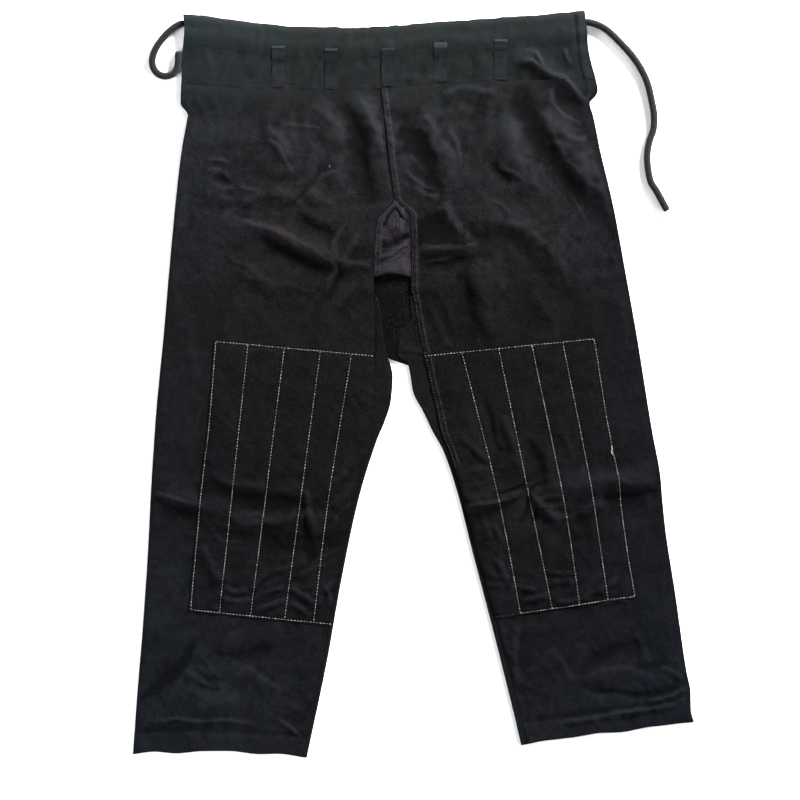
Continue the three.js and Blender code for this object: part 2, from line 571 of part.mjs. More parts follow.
function bandGrid(path, inset, creased) {
  const parts = evenSteps(inset, 1 - inset, BAND_STEPS);
  const columns = parts.map((part) =>
    path(bandPlan(part, 0).height).map(({ down, z }) => {
      const { x, y } = bandPlan(part, down);
      const crease = creased ? foldHeight(HIP_CREASE, x, y) * Math.min(1, down / CREASE_RISE) : 0;
      return new THREE.Vector3(x, y, z + crease);
    }),
  );
  return columns[0].map((_, i) => columns.map((column) => column[i]));
}

// A belt loop: a strip on the front band, sewn at both ends and slack between them.
function loopGrid({ x, top, bottom }) {
  const stations = evenSteps(0, 1, LOOP_STEPS);
  const halves = [-LOOP_WIDTH / 2, 0, LOOP_WIDTH / 2];
  const low = (BAND_WALL + LOOP_WALL) / 2 + LOOP_CLEARANCE;
  return stations.map((part) =>
    halves.map((offset) => {
      const y = THREE.MathUtils.lerp(top, bottom, part);
      const down = waistTop(x) - y;
      const slack = LOOP_SLACK * Math.sin(Math.PI * part) ** LOOP_ROUNDNESS;
      const crease = foldHeight(HIP_CREASE, x + offset, y);
      return new THREE.Vector3(x + offset, y, bandHeight(down) + low + slack + crease);
    }),
  );
}

// ---------------------------------------------------------------------------------------------
// Gusset.

const GUSSET_STEPS = 4;
const GUSSET_GAP = 0.8; // its seams run askew to the panels' rows

// Where a leg's panels end at a height: straight from one of its lines across to the next.
function innerBoundary(leg) {
  const ends = leg.lines.map((line) => {
    const { plan, width, roll } = crossLine(leg, line);
    return plan(width + roll);
  });
  return (y) => {
    const below = ends.findIndex((end) => end.y < y);
    const [from, to] = [ends[below - 1], ends[below]];
    return THREE.MathUtils.lerp(from.x, to.x, (y - from.y) / (to.y - from.y));
  };
}

function gussetGrid() {
  const [rightX, leftX] = [innerBoundary(LEGS.right), innerBoundary(LEGS.left)];
  return GUSSET_PATH.map(({ y, z, arch }) => {
    const [right, left] = [rightX(y) + GUSSET_GAP, leftX(y) - GUSSET_GAP];
    return evenSteps(0, 1, GUSSET_STEPS).map((part) => {
      const x = THREE.MathUtils.lerp(right, left, part);
      return new THREE.Vector3(x, y, z + arch * 4 * part * (1 - part));
    });
  });
}

// ---------------------------------------------------------------------------------------------
// Drawstring.

// A round or pressed tube along a route.
function cordTube(route, width, height, steps) {
  const section = new THREE.Shape();
  for (let k = 0; k < CORD_SIDES; k += 1) {
    const angle = (2 * Math.PI * k) / CORD_SIDES;
    const [x, y] = [(height / 2) * Math.cos(angle), (width / 2) * Math.sin(angle)];
    if (k === 0) section.moveTo(x, y);
    else section.lineTo(x, y);
  }
  const points = route.map((point) => new THREE.Vector3(...point));
  const path = new THREE.CatmullRomCurve3(points, false, "centripetal");
  return new THREE.ExtrudeGeometry(section, { steps, extrudePath: path, bevelEnabled: false });
}

// The stretch inside the back casing, which joins the two free ends.
function casingRoute() {
  const [startX] = DRAWSTRING_RIGHT_ROUTE[0];
  const [endX] = DRAWSTRING_LEFT_ROUTE[0];
  const z = GROUND_MID + CASING_CLOTH / 2;
  return evenSteps(startX + CORD_RUN_GAP, endX - CORD_RUN_GAP, CORD_RUN_STEPS).map((x) => [
    x,
    waistTop(x) - CORD_DEPTH_BELOW_TOP,
    z,
  ]);
}

// ---------------------------------------------------------------------------------------------
// The garment.

const drill = (color) => new THREE.MeshStandardMaterial({ color, roughness: 0.9, metalness: 0 });

const trousers = new THREE.Group();

function addPiece(name, geometry, color) {
  const mesh = new THREE.Mesh(geometry, drill(color));
  mesh.name = name;
  trousers.add(mesh);
}

for (const [side, leg] of Object.entries(LEGS)) {
  const front = frontGrid(leg);
  addPiece(`front_${side}`, clothWall(front, WALL), FRONT_COLOR);
  addPiece(`back_${side}`, clothWall(backGrid(leg), WALL), BACK_COLOR);
  addPiece(`knee_patch_${side}`, clothWall(patchGrid(leg, front), WALL), PATCH_COLOR);
}

addPiece("gusset", clothWall(gussetGrid(), WALL), GUSSET_COLOR);

const frontBand = bandGrid(frontBandPath, 0, true);
const backBand = bandGrid(backBandPath, BACK_BAND_INSET, false);
addPiece("waistband_front", clothWall(frontBand, BAND_WALL), FRONT_BAND_COLOR);
addPiece("waistband_back", clothWall(backBand, WALL), BACK_BAND_COLOR);

for (const loop of BELT_LOOPS) {
  addPiece(`belt_loop_${loop.name}`, clothWall(loopGrid(loop), LOOP_WALL), LOOP_COLOR);
}

const round = (route, steps) => cordTube(route, CORD_DIAMETER, CORD_DIAMETER, steps);
addPiece("drawstring_left", round(DRAWSTRING_LEFT_ROUTE, CORD_LEFT_STEPS), CORD_COLOR);
addPiece("drawstring_right", round(DRAWSTRING_RIGHT_ROUTE, CORD_RIGHT_STEPS), CORD_COLOR);
const pressed = cordTube(casingRoute(), CORD_DIAMETER, CORD_RUN_HEIGHT, CORD_RUN_STEPS);
addPiece("drawstring_run", pressed, CORD_COLOR);

export default trousers;
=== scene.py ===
"""Martial arts trousers laid flat, front up: drill, quilted knees, gusset, waistband, cord and studio.

The tables are in millimetres and the meshes in metres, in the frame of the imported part: +Z is up
from the ground, +Y runs from the hems to the waist, and the wearer's right leg lies on the -X side.
Left and right are the wearer's throughout.
"""

import logging
import math
from dataclasses import dataclass, field
from enum import Enum, IntEnum
from functools import partial
from typing import Any, Callable, Sequence

import bpy
import numpy as np
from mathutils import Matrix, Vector


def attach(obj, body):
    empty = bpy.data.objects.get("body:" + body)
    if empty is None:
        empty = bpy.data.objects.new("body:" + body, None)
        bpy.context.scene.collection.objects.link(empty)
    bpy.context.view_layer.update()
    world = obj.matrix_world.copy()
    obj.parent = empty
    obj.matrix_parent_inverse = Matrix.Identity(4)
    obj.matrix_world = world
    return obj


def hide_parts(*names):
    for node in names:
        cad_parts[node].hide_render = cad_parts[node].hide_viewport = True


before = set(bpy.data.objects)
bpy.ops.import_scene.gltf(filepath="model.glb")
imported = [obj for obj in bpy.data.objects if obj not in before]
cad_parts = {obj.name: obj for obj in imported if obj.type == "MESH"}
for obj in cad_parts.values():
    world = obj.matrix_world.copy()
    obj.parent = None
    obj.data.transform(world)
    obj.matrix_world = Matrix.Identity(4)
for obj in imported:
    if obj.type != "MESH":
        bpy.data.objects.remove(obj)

Array = np.ndarray
Line = Sequence[tuple[float, float]]
Colour = tuple[float, float, float]
Place = tuple[float, float, float]
Shades = Sequence[tuple[float, Colour]]
Curve = Callable[[Array], Array]
Socket = bpy.types.NodeSocket
Material = bpy.types.Material
Object = bpy.types.Object

log = logging.getLogger("trousers")

MM = 0.001

# The cloth's walls and turns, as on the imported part.
WALL = 1.2
LAYER_GAP = 0.3
GROUND_MID = WALL / 2
FOLD_RADIUS = 1.5
FOLDED_HEIGHT = GROUND_MID + 2 * FOLD_RADIUS
LOWEST_UPPER_LAYER = GROUND_MID + WALL + LAYER_GAP
OUTER_BEND = FOLD_RADIUS * math.pi / 2
INNER_BEND = FOLD_RADIUS * math.pi

# The dressed cloth lies closer at its seams and fuller between them, and its fine relief cuts no
# deeper than this.
SEAM_GAP = 0.1
GUSSET_GAP = 0.1
LEG_CROWN = 1.4
LOFT = 1.6
DEEPEST_CUT = 0.6

# Cord and waistband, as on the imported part.
CORD_DIAMETER = 9.0
CORD_DEPTH_BELOW_TOP = 13.0
CORD_RUN_HEIGHT = 6.6
CASING_FOLD = 7.6
CASING_FLAT_END = 20.0
CASING_END = 42.0
CASING_CLOTH = CORD_RUN_HEIGHT + 2 * LAYER_GAP + WALL
BAND_WALL = 2.4
BAND_OVER_CASING = CASING_CLOTH + GROUND_MID + (WALL + BAND_WALL) / 2 + LAYER_GAP
BAND_LOW_HEIGHT = 5.2
BAND_DRAPE_END = 48.0

# Steps of the dressed cloth's grids and of its stitches.
PANEL_PITCH = 2.2
BAND_PITCH = 2.2
STITCH_PITCH = 3.4
FELLED_PITCH = 3.9
QUILT_PITCH = 4.2
TACK_PITCH = 2.4

# Rows of the felled inner seam, in from its edge, and the height on the leg where they end.
FELLED_INSETS = (2.4, 7.6)
FELLED_END = -110

# How faded each kind of cloth is where it is flat, from 0 to 1.
FADED = 0.42
PATCH_FADED = 0.38
GUSSET_FADED = 0.44
BAND_FADED = 0.44
BACK_BAND_FADED = 0.4
LOOP_FADED = 0.23


class Side(Enum):
    """The wearer's side."""

    RIGHT = "right"
    LEFT = "left"


class Slot(Enum):
    """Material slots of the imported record."""

    DRILL = "drill"
    PATCH = "patch"
    BAND = "band"
    CORD = "cord"


class Hold(Enum):
    """How a sheet of cloth is held."""

    LAID = "laid"
    FOLDED = "folded"


class Seed(IntEnum):
    """Seeds of the noises that stand outside the tables. The zones take every third one from theirs."""

    STITCHES = 7
    DRAPE = 11
    ZONES = 20
    HEM = 31
    FELLED = 32
    OUTSEAM = 33
    VENT = 34
    INSEAM = 35
    FLAP = 41
    QUILTING = 51
    GUSSET_LONG = 61
    GUSSET_SHORT = 62
    GUSSET_SEAM = 63
    BAND = 71
    BAND_TOP = 72
    BAND_SEAM = 73
    BAND_END = 74
    LOOP = 81
    HEM_EDGE = 91


# Tables of the garment, in millimetres.

OUTER_EDGE = {
    Side.RIGHT: (
        (485, -299.6), (461, -297), (430, -299.8), (390, -301.5), (365, -302.5), (350, -293.2),
        (338, -295), (305, -301), (252, -307.5), (175, -315), (71, -324), (-45, -335),
        (-137, -341), (-215, -345), (-319, -352), (-397, -358.5), (-480, -364.5),
    ),
    Side.LEFT: (
        (485, 221.3), (461, 224.5), (435, 227), (417, 230.8), (396, 236.5), (382, 239.2),
        (376, 237.5), (366, 228.8), (349, 233.4), (305, 242.5), (227, 260.7), (149, 275),
        (71, 289), (-59, 310), (-120, 321), (-150, 323.5), (-189, 327.5), (-267, 339.5),
        (-371, 354.5), (-400, 360), (-424, 360.5), (-439, 364.5),
    ),
}

# Height along the leg, the front's seam, and the fold of the leg's tube where it stands apart.
INNER_EDGE = {
    Side.RIGHT: (
        (400, -45.4), (374, -42.7), (340, -38.4), (306, -34.8), (261, -29.1), (241, -26), (211, -48),
        (178, -51), (123, -51.4), (108, -50.5, -45), (84, -49.8, -41.5), (51, -50, -37.2),
        (12, -51.4, -26.8), (-20, -51.4, -29.3), (-46, -52, -37), (-72, -55, -47.5),
        (-150, -76.5, -71.5), (-254, -98.5, -93.5), (-358, -117, -112), (-484, -144, -138.5),
    ),
    Side.LEFT: (
        (400, -44.6), (374, -41.9), (340, -37.6), (306, -34), (261, -28.3), (241, -25.2), (220, -5),
        (178, -3.3), (123, -3.3), (108, 0, -5.5), (86, 3.4, -3), (62, 8, -20.4), (42, 12.5, -21.5),
        (29, 15.6, -7.4), (-7, 23.3, -0.7), (-33, 29.8, 12.4), (-59, 35, 24.5), (-85, 45, 38.5),
        (-137, 62, 56.2), (-215, 82, 76.2), (-319, 110, 103.4), (-465, 148, 139.8),
    ),
}

# Lines across a leg: height on the outer edge and on the inner edge, rise of the middle, how far
# the outseam is closed, where the knee patch starts, and the line's place in even steps.
CROSS_LINES = {
    Side.RIGHT: (
        (390, 384, -5, 0, 0.24, 0), (350, 341, -3, 0, 0.24, 3), (290, 284, 0, 1, 0.24, 6),
        (152, 137, 0, 1, 0.24, 13), (64, 39, 0, 1, 0.242, 19), (-288, -313, 0, 1, 0.241, 28),
        (-480, -484, 5, 1, 0.24, 33),
    ),
    Side.LEFT: (
        (396, 384, 3, 0, 0.2, 0), (364, 346, 1, 0, 0.2, 4), (300, 284, 0, 1, 0.2, 7),
        (155, 137, 0, 1, 0.2, 14), (67, 39, 0, 1, 0.194, 20), (-269, -304, 0, 1, 0.216, 29),
        (-439, -465, 0, 1, 0.22, 34),
    ),
}

# Rows of quilting on the knee patches, from the outer one to the inner one.
PATCH_ROWS = {
    Side.RIGHT: (
        ((-214.5, 54), (-252, -299.7)), ((-167.5, 47.5), (-211.8, -303.6)),
        ((-120.9, 42.3), (-167.7, -307.5)), ((-80.6, 38.4), (-111.8, -159), (-130, -311.4)),
    ),
    Side.LEFT: (
        ((193.1, 56.6), (231, -138.5), (252.8, -284)), ((153.4, 51.4), (198.6, -172), (216, -289.3)),
        ((110.5, 46.2), (180.7, -294.5)), ((63.3, 39.7), (111.2, -152.8), (139, -298.4)),
    ),
}

# Painted light along the garment, from the hems to the waist: the drill is painted lighter and greener
# towards the waist, where the light fell stronger and greener, and bluer towards the hems.
PAINTED_LIGHT_ALONG = (
    (-0.45, (0.68, 0.76, 0.91)), (-0.2, (0.48, 0.48, 0.52)), (0.1, (0.57, 0.52, 0.55)),
    (0.3, (1.14, 1.12, 1.22)), (0.44, (1.26, 1.48, 1.46)),
)

# How strongly its grain shows along the garment.
GRAINS = ((-0.3, 0.9), (0.1, 1.85), (0.24, 1), (0.36, 0.4))

# Painted light across the garment: the side under the key light is painted darker and the side away
# from it lighter, to even out that light, and the outer sides bluer, as a bluish side light makes them.
PAINTED_LIGHT_ACROSS = (
    (-0.3, (1.06, 1.17, 1.23)), (-0.17, (1.06, 1.06, 1.06)), (0, (1, 1, 1)),
    (0.17, (0.94, 0.94, 0.95)), (0.3, (0.8, 0.89, 1)),
)

# Height of the waist's top edge at places across.
WAIST_TOP = (
    (-300, 481.5), (-250, 476), (-200, 469), (-120, 463.5), (-68, 463.8), (0, 468), (90, 475),
    (165, 480), (222, 484.9),
)

# Lift of the front's inner edge over the folded leg, at heights along it.
INNER_LIFT = ((400, 1.4), (300, 1.2), (200, 1.6), (150, 2.5), (128, 2.5), (106, 0), (-500, 0))

# The largest folds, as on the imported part: height, width and line.
FOLDS = (
    (3.2, 14, (-262, 206), (-185, 201), (-133, 172), (-58, 149)),
    (-1.8, 14, (-195, 180), (-150, 164), (-95, 138)), (2.6, 30, (-190, 318), (-121, 279)),
    (-3.2, 15, (-92, 365), (-76, 330), (-60, 281)), (2.2, 16, (-71, 371), (-52, 331), (-46, 250)),
    (4.4, 16, (-335, -141), (-277, -153), (-235, -158)),
    (-2.8, 13, (-228, -150), (-197, -153), (-160, -160)),
    (2.8, 12, (-235, -170), (-197, -179), (-150, -172)),
    (-3.2, 14, (-350, -408), (-321, -381), (-286, -345)),
    (-1.6, 14, (-302, -368), (-270, -388), (-216, -396)), (2.4, 14, (-283, -414), (-216, -406)),
    (-3.2, 17, (-17, 352), (8, 305), (38, 250)), (-3.4, 19, (141, 374), (168, 319), (200, 262), (236, 205)),
    (2.8, 22, (112, 352), (140, 290), (172, 240)), (3, 18, (186, 352), (214, 300), (243, 248)),
    (-2.6, 19, (28, 222), (54, 196)), (3, 12, (8, 178), (40, 182), (72, 180)),
    (-3, 12, (4, 158), (40, 160), (74, 168)), (4.2, 13, (60, -158), (105, -150), (146, -144)),
    (5, 17, (172, -136), (248, -129), (318, -131)), (-3, 18, (232, -162), (304, -156)),
    (-1.4, 13, (208, -384), (231, -362), (258, -351), (306, -344), (326, -362)),
    (1.6, 16, (240, -377), (300, -379)),
)

# The broad fold that runs from the waistband on to the left front.
HIP_FOLDS = ((4, 13, (126, 430), (158, 421), (222, 372)),)

# Creases that only the dressed cloth has: height, width of the left flank, width of the right one,
# and line. Lines run down or to the right, so the key light falls on the left flank of a ridge. A
# trough has a height below 0, and its left flank is the dark one.
CREASES = (
    # Right hip and thigh.
    (3.6, 26, 20, (-84, 388), (-62, 358), (-48, 330), (-41, 296)),
    (-3.4, 15, 22, (-76, 306), (-60, 264), (-50, 234)),
    (2.4, 10, 14, (-188, 338), (-172, 314), (-158, 290)),
    (2.2, 22, 24, (-140, 368), (-104, 344), (-88, 312)), (1.3, 4, 5, (-272, 292), (-252, 291), (-236, 284)),
    (1, 4, 5, (-270, 279), (-250, 277), (-238, 270)), (-1.6, 7, 7, (-262, 269), (-248, 266), (-236, 260)),
    (2.6, 16, 14, (-272, 250), (-226, 241), (-180, 247), (-140, 246), (-98, 234)),
    (1.6, 20, 8, (-254, 219), (-226, 210), (-196, 203)),
    (3.8, 30, 9, (-206, 205), (-180, 197), (-155, 180), (-130, 164), (-98, 152)),
    (2.4, 10, 8, (-98, 152), (-76, 150), (-52, 150)), (-3.4, 12, 12, (-156, 214), (-122, 202), (-98, 192)),
    (2.6, 7, 8, (-70, 198), (-82, 176), (-98, 152)), (2.8, 7, 8, (-52, 160), (-74, 154), (-98, 152)),
    (2.8, 8, 9, (-98, 152), (-112, 128), (-126, 104)), (-2.4, 8, 12, (-92, 146), (-106, 122), (-118, 100)),
    (1.8, 9, 12, (-70, 134), (-96, 106), (-112, 76)), (1.8, 12, 16, (-240, 166), (-200, 140), (-170, 110)),
    (1.8, 16, 20, (-296, 96), (-288, 40), (-276, -10)), (-2, 20, 24, (-220, 130), (-170, 96), (-140, 60)),
    (2, 3.5, 5, (-243, 218), (-208, 209), (-174, 199), (-139, 177), (-100, 153)),
    (1.4, 4, 5, (-256, 210), (-239, 222), (-213, 240)),
    (1.8, 4, 5, (-96, 157), (-104, 179), (-98, 196), (-83, 218)),
    (1.6, 4, 4, (-100, 157), (-70, 153), (-52, 149)), (1.6, 4, 5, (-100, 149), (-113, 131), (-117, 114)),
    (1.4, 4, 5, (-195, 318), (-178, 309), (-169, 292), (-156, 270)),
    (-2, 5, 8, (-117, 275), (-140, 250), (-174, 222)), (1.4, 4, 5, (-130, 261), (-112, 272), (-96, 279)),
    (1.4, 4, 5, (-252, 253), (-226, 255), (-200, 248)), (1.2, 4, 5, (-180, 338), (-150, 336), (-122, 330)),
    (1.2, 4, 5, (-168, 132), (-146, 122), (-126, 124)), (1.2, 4, 5, (-230, 150), (-206, 136), (-184, 134)),
    # Left hip and thigh.
    (1.8, 4, 5, (176, 389), (181, 369), (196, 349), (222, 339)), (2, 4, 6, (-12, 279), (5, 264), (36, 248)),
    (1.8, 3, 4, (10, 153), (41, 163), (71, 168)), (1.4, 4, 5, (101, 284), (131, 274), (161, 258)),
    (1.4, 4, 5, (46, 330), (60, 300), (62, 276)), (1.3, 4, 5, (92, 244), (112, 236), (130, 222)),
    (1.3, 4, 5, (196, 250), (214, 230), (224, 206)), (1.2, 4, 5, (110, 130), (126, 112), (130, 92)),
    (4.6, 36, 22, (4, 352), (22, 338), (36, 306), (44, 276), (49, 248)),
    (1.8, 5, 6, (-8, 302), (4, 290), (18, 272)), (2, 7, 8, (2, 258), (14, 246), (34, 240)),
    (3.2, 5, 8, (36, 377), (60, 384), (86, 384), (108, 378)),
    (2, 18, 16, (120, 348), (132, 312), (142, 284), (156, 254)),
    (4, 34, 22, (150, 374), (172, 340), (188, 306), (216, 274), (250, 247), (280, 204)),
    (-3.2, 9, 11, (98, 290), (112, 275), (124, 260)), (1.8, 7, 7, (186, 330), (204, 318), (226, 318)),
    (5, 10, 28, (38, 234), (56, 206), (78, 176)), (3.2, 6, 8, (6, 171), (40, 174), (76, 175)),
    (2.2, 4, 5, (66, 186), (74, 179), (82, 182)), (-2.2, 12, 9, (8, 152), (40, 153), (68, 164)),
    (4, 36, 22, (82, 216), (122, 210), (160, 190), (190, 152), (204, 116)),
    (4.2, 36, 24, (76, 164), (88, 118), (102, 60)), (-2.4, 12, 14, (62, 148), (72, 104), (82, 54)),
    (1.6, 7, 8, (18, 104), (34, 76), (48, 46)), (1.6, 8, 9, (30, 126), (44, 100), (54, 72)),
    (2, 20, 20, (150, 124), (176, 92), (190, 50)), (1.8, 16, 14, (258, 132), (272, 90), (276, 40)),
    # Right knee and shin.
    (3.6, 5, 7, (-340, -138), (-318, -146), (-296, -152), (-270, -158)),
    (-3.8, 12, 24, (-288, -134), (-236, -143), (-198, -154), (-150, -156), (-108, -148)),
    (2.6, 10, 8, (-262, -118), (-230, -130), (-190, -134)),
    (4.2, 6, 6, (-142, -134), (-137, -164), (-131, -190)),
    (3.4, 5, 5, (-140, -150), (-154, -164), (-172, -182)),
    (-4.2, 7, 8, (-143, -172), (-136, -204), (-128, -238)),
    (2.9, 6, 7, (-84, -108), (-98, -122), (-116, -136)),
    (2.9, 6, 7, (-76, -126), (-90, -142), (-104, -160)),
    (2.3, 5, 6, (-234, -178), (-214, -182), (-190, -176)),
    (-3.4, 22, 18, (-200, -204), (-140, -214), (-88, -202)),
    (3.1, 7, 9, (-276, -208), (-260, -234), (-250, -256)),
    (2.3, 5, 6, (-134, -236), (-118, -222), (-98, -210)),
    (3.1, 4, 6, (-250, -279), (-230, -280), (-208, -278)),
    (3.4, 5, 6, (-212, -283), (-192, -270), (-164, -258)),
    (3.1, 4, 5, (-208, -292), (-188, -288), (-166, -279)),
    (4.2, 5, 6, (-164, -260), (-146, -272), (-128, -286)),
    (3.1, 4, 5, (-246, -262), (-232, -268), (-214, -264)),
    (2.9, 4, 5, (-186, -246), (-170, -240), (-152, -230)),
    (2.6, 4, 5, (-120, -262), (-108, -276), (-104, -292)),
    (2.6, 5, 5, (-160, -283), (-148, -290), (-132, -300)),
    (2.9, 5, 6, (-104, -252), (-116, -268), (-130, -284)),
    (2.3, 5, 5, (-150, -246), (-136, -244), (-112, -232)),
    (-3.9, 8, 8, (-280, -326), (-300, -362), (-326, -386), (-356, -412)),
    (2.2, 8, 12, (-304, -364), (-280, -384), (-262, -394), (-236, -386)),
    (2, 7, 12, (-238, -386), (-214, -372), (-190, -386), (-162, -400)),
    (-2.6, 16, 14, (-270, -346), (-226, -352), (-176, -344)),
    (-2.3, 5, 6, (-280, -392), (-264, -398), (-250, -394)),
    (2.3, 5, 6, (-176, -430), (-160, -444), (-142, -462)),
    (2.1, 4, 5, (-354, -434), (-280, -435), (-200, -438)),
    (2, 3, 4, (-236, -153), (-220, -167), (-198, -168), (-184, -180), (-164, -172), (-150, -160)),
    (1.8, 3, 4, (-146, -176), (-138, -198), (-129, -230)),
    (1.8, 3, 4, (-112, -188), (-93, -164), (-78, -152)),
    (1.6, 3, 4, (-262, -196), (-244, -206), (-222, -204)),
    # Left knee and shin.
    (2.2, 3, 4, (64, -157), (104, -152), (148, -140)), (2, 3, 4, (128, -148), (152, -128)),
    (1.8, 3, 4, (156, -168), (170, -160), (188, -162)), (1.8, 3, 4, (62, -132), (84, -128), (112, -116)),
    (1.6, 3, 4, (120, -196), (112, -216), (118, -236)), (1.8, 3, 4, (174, -246), (196, -242), (214, -246)),
    (4.6, 5, 8, (66, -160), (100, -151), (142, -138)), (-3.9, 6, 5, (98, -142), (124, -138), (146, -128)),
    (-3.4, 8, 6, (158, -128), (148, -152), (134, -184)), (5, 9, 8, (152, -140), (168, -160), (192, -180)),
    (-2.8, 10, 12, (148, -70), (160, -100), (172, -142)),
    (4.2, 12, 10, (192, -178), (222, -162), (252, -150)),
    (3, 16, 20, (216, -128), (262, -121), (326, -110)),
    (-2.4, 9, 14, (240, -150), (282, -146), (326, -138)), (2.9, 5, 6, (88, -166), (94, -182), (98, -200)),
    (2.3, 5, 6, (100, -178), (110, -192), (116, -206)), (2.6, 7, 8, (202, -142), (214, -120), (222, -96)),
    (-3.1, 6, 7, (88, -20), (102, -56), (114, -92)), (3.4, 8, 8, (116, -40), (132, -86), (146, -122)),
    (2.3, 7, 6, (60, -62), (80, -84), (100, -104)), (2.1, 6, 5, (62, -116), (84, -112), (106, -118)),
    (1.8, 10, 10, (186, -40), (204, -84), (212, -124)), (2.6, 5, 6, (104, -222), (116, -240), (124, -260)),
    (2.9, 4, 6, (140, -279), (158, -275), (176, -276)), (3.4, 5, 6, (178, -259), (196, -254), (216, -258)),
    (3.1, 5, 6, (219, -274), (246, -265), (266, -246)), (2.3, 4, 5, (182, -283), (206, -280), (232, -277)),
    (2.3, 4, 5, (240, -284), (262, -281), (280, -279)), (2.1, 4, 5, (124, -268), (142, -264), (160, -266)),
    (2.3, 8, 8, (286, -322), (298, -344), (308, -362)),
    (-1.6, 14, 12, (222, -366), (244, -350), (280, -338), (306, -344)),
    (1.9, 7, 12, (222, -380), (252, -373), (286, -371), (312, -378)),
    (-2.3, 8, 6, (216, -392), (270, -402), (318, -400), (352, -388)),
    (3.4, 5, 7, (320, -366), (336, -374), (356, -380)), (3.4, 4, 6, (300, -410), (330, -404), (358, -394)),
    (3.1, 5, 7, (180, -440), (236, -432), (304, -419), (362, -410)),
    (2.3, 7, 8, (138, -310), (132, -346), (136, -392)), (2.3, 8, 8, (178, -340), (192, -366), (204, -388)),
)

# Painted light and shade: cloth painted lighter as a highlight (above 0) or darker as shade (below 0)
# than the rest, along creases and where the light falls: amount, reach and line.
PAINTED_LIGHT_AND_SHADE = (
    (0.08, 20, (-130, 350), (-96, 330)), (0.08, 10, (-250, 220), (-200, 208), (-160, 190)),
    (0.14, 8, (-76, 378), (-56, 346)), (0.16, 7, (36, 324), (46, 292), (51, 256)),
    (-0.26, 15, (140, 372), (158, 334), (177, 299), (207, 264), (242, 232), (272, 190)),
    (0.1, 16, (176, 362), (204, 322), (234, 290)), (0.14, 5, (44, 226), (60, 204), (76, 178)),
    (0.2, 3, (6, 171), (40, 172), (78, 173)), (-0.3, 5, (72, 160), (80, 168)),
    (0.16, 4, (38, 379), (62, 386), (88, 386)), (0.14, 6, (-240, 216), (-174, 200), (-140, 179)),
    (-0.36, 12, (80, 202), (121, 197), (156, 177), (180, 146)), (-0.2, 9, (180, 146), (194, 120)),
    (0.1, 14, (92, 232), (146, 218), (188, 186), (214, 150)), (-0.18, 13, (68, 150), (78, 110), (90, 62)),
    (0.1, 14, (106, 150), (118, 110), (124, 70)), (-0.14, 8, (104, 284), (114, 272)),
    (0.1, 10, (128, 334), (140, 300)), (-0.26, 10, (-270, -137), (-230, -141), (-196, -149), (-150, -152)),
    (0.12, 14, (-268, -172), (-230, -178), (-200, -176)), (-0.2, 16, (-150, -205), (-110, -206)),
    (-0.16, 6, (-136, -190), (-130, -236)), (0.16, 5, (-141, -140), (-136, -168)),
    (-0.22, 5, (-353, -406), (-325, -385), (-300, -364)), (-0.06, 16, (-250, -345), (-200, -350)),
    (0.1, 12, (-290, -384), (-240, -392), (-200, -384)), (-0.24, 8, (158, -84), (164, -112), (172, -140)),
    (-0.2, 6, (110, -141), (142, -132)), (-0.2, 5, (152, -140), (148, -160), (136, -180)),
    (0.34, 6, (160, -148), (178, -168), (198, -177)), (-0.2, 10, (214, -146), (262, -140), (318, -130)),
    (0.1, 12, (216, -118), (262, -112), (318, -100)),
    (0.2, 32, (-306, 30), (-312, -60), (-322, -160), (-336, -290)), (-0.08, 40, (-330, -360), (-320, -440)),
    (0.12, 22, (72, -40), (84, -120), (102, -200), (112, -260)),
    (0.28, 28, (84, -152), (150, -156), (236, -146)), (0.34, 8, (70, -162), (110, -160), (150, -154)),
    (0.26, 12, (112, -176), (150, -182), (178, -196)), (0.3, 9, (166, -134), (200, -134), (236, -130)),
    (0.2, 14, (180, -96), (206, -118)), (-0.26, 2, (124, -145), (149, -125)),
    (-0.26, 2, (64, -152), (104, -146), (140, -136)), (-0.26, 2, (160, -165), (172, -156)),
    (-0.26, 2, (208, -160), (245, -164)), (-0.26, 2, (178, -264), (208, -261), (222, -256)),
    (-0.28, 2, (-234, -157), (-220, -170), (-197, -171), (-185, -183), (-166, -175), (-152, -163)),
    (-0.28, 2, (-150, -175), (-142, -198), (-133, -229)),
    (-0.24, 2, (-115, -187), (-96, -163), (-80, -151)),
    (-0.26, 2, (-208, -275), (-190, -272), (-168, -266)), (0.16, 3, (-244, -280), (-216, -280)),
    (0.16, 3, (-209, -288), (-185, -281), (-158, -275), (-135, -282)),
    (-0.1, 7, (219, -391), (270, -400), (315, -402)), (-0.06, 10, (224, -362), (250, -350), (290, -345)),
    (0.06, 8, (226, -380), (280, -373)),
)

# The same painted light and shade on the left back where it rolls over the inner fold.
ROLLED_PAINTED_LIGHT_AND_SHADE = (
    (0.42, 4, (-14, 54), (10, 44)), (0.36, 3, (-22, 37), (14, 33)), (-0.3, 4, (-10, 44), (8, 38)),
)

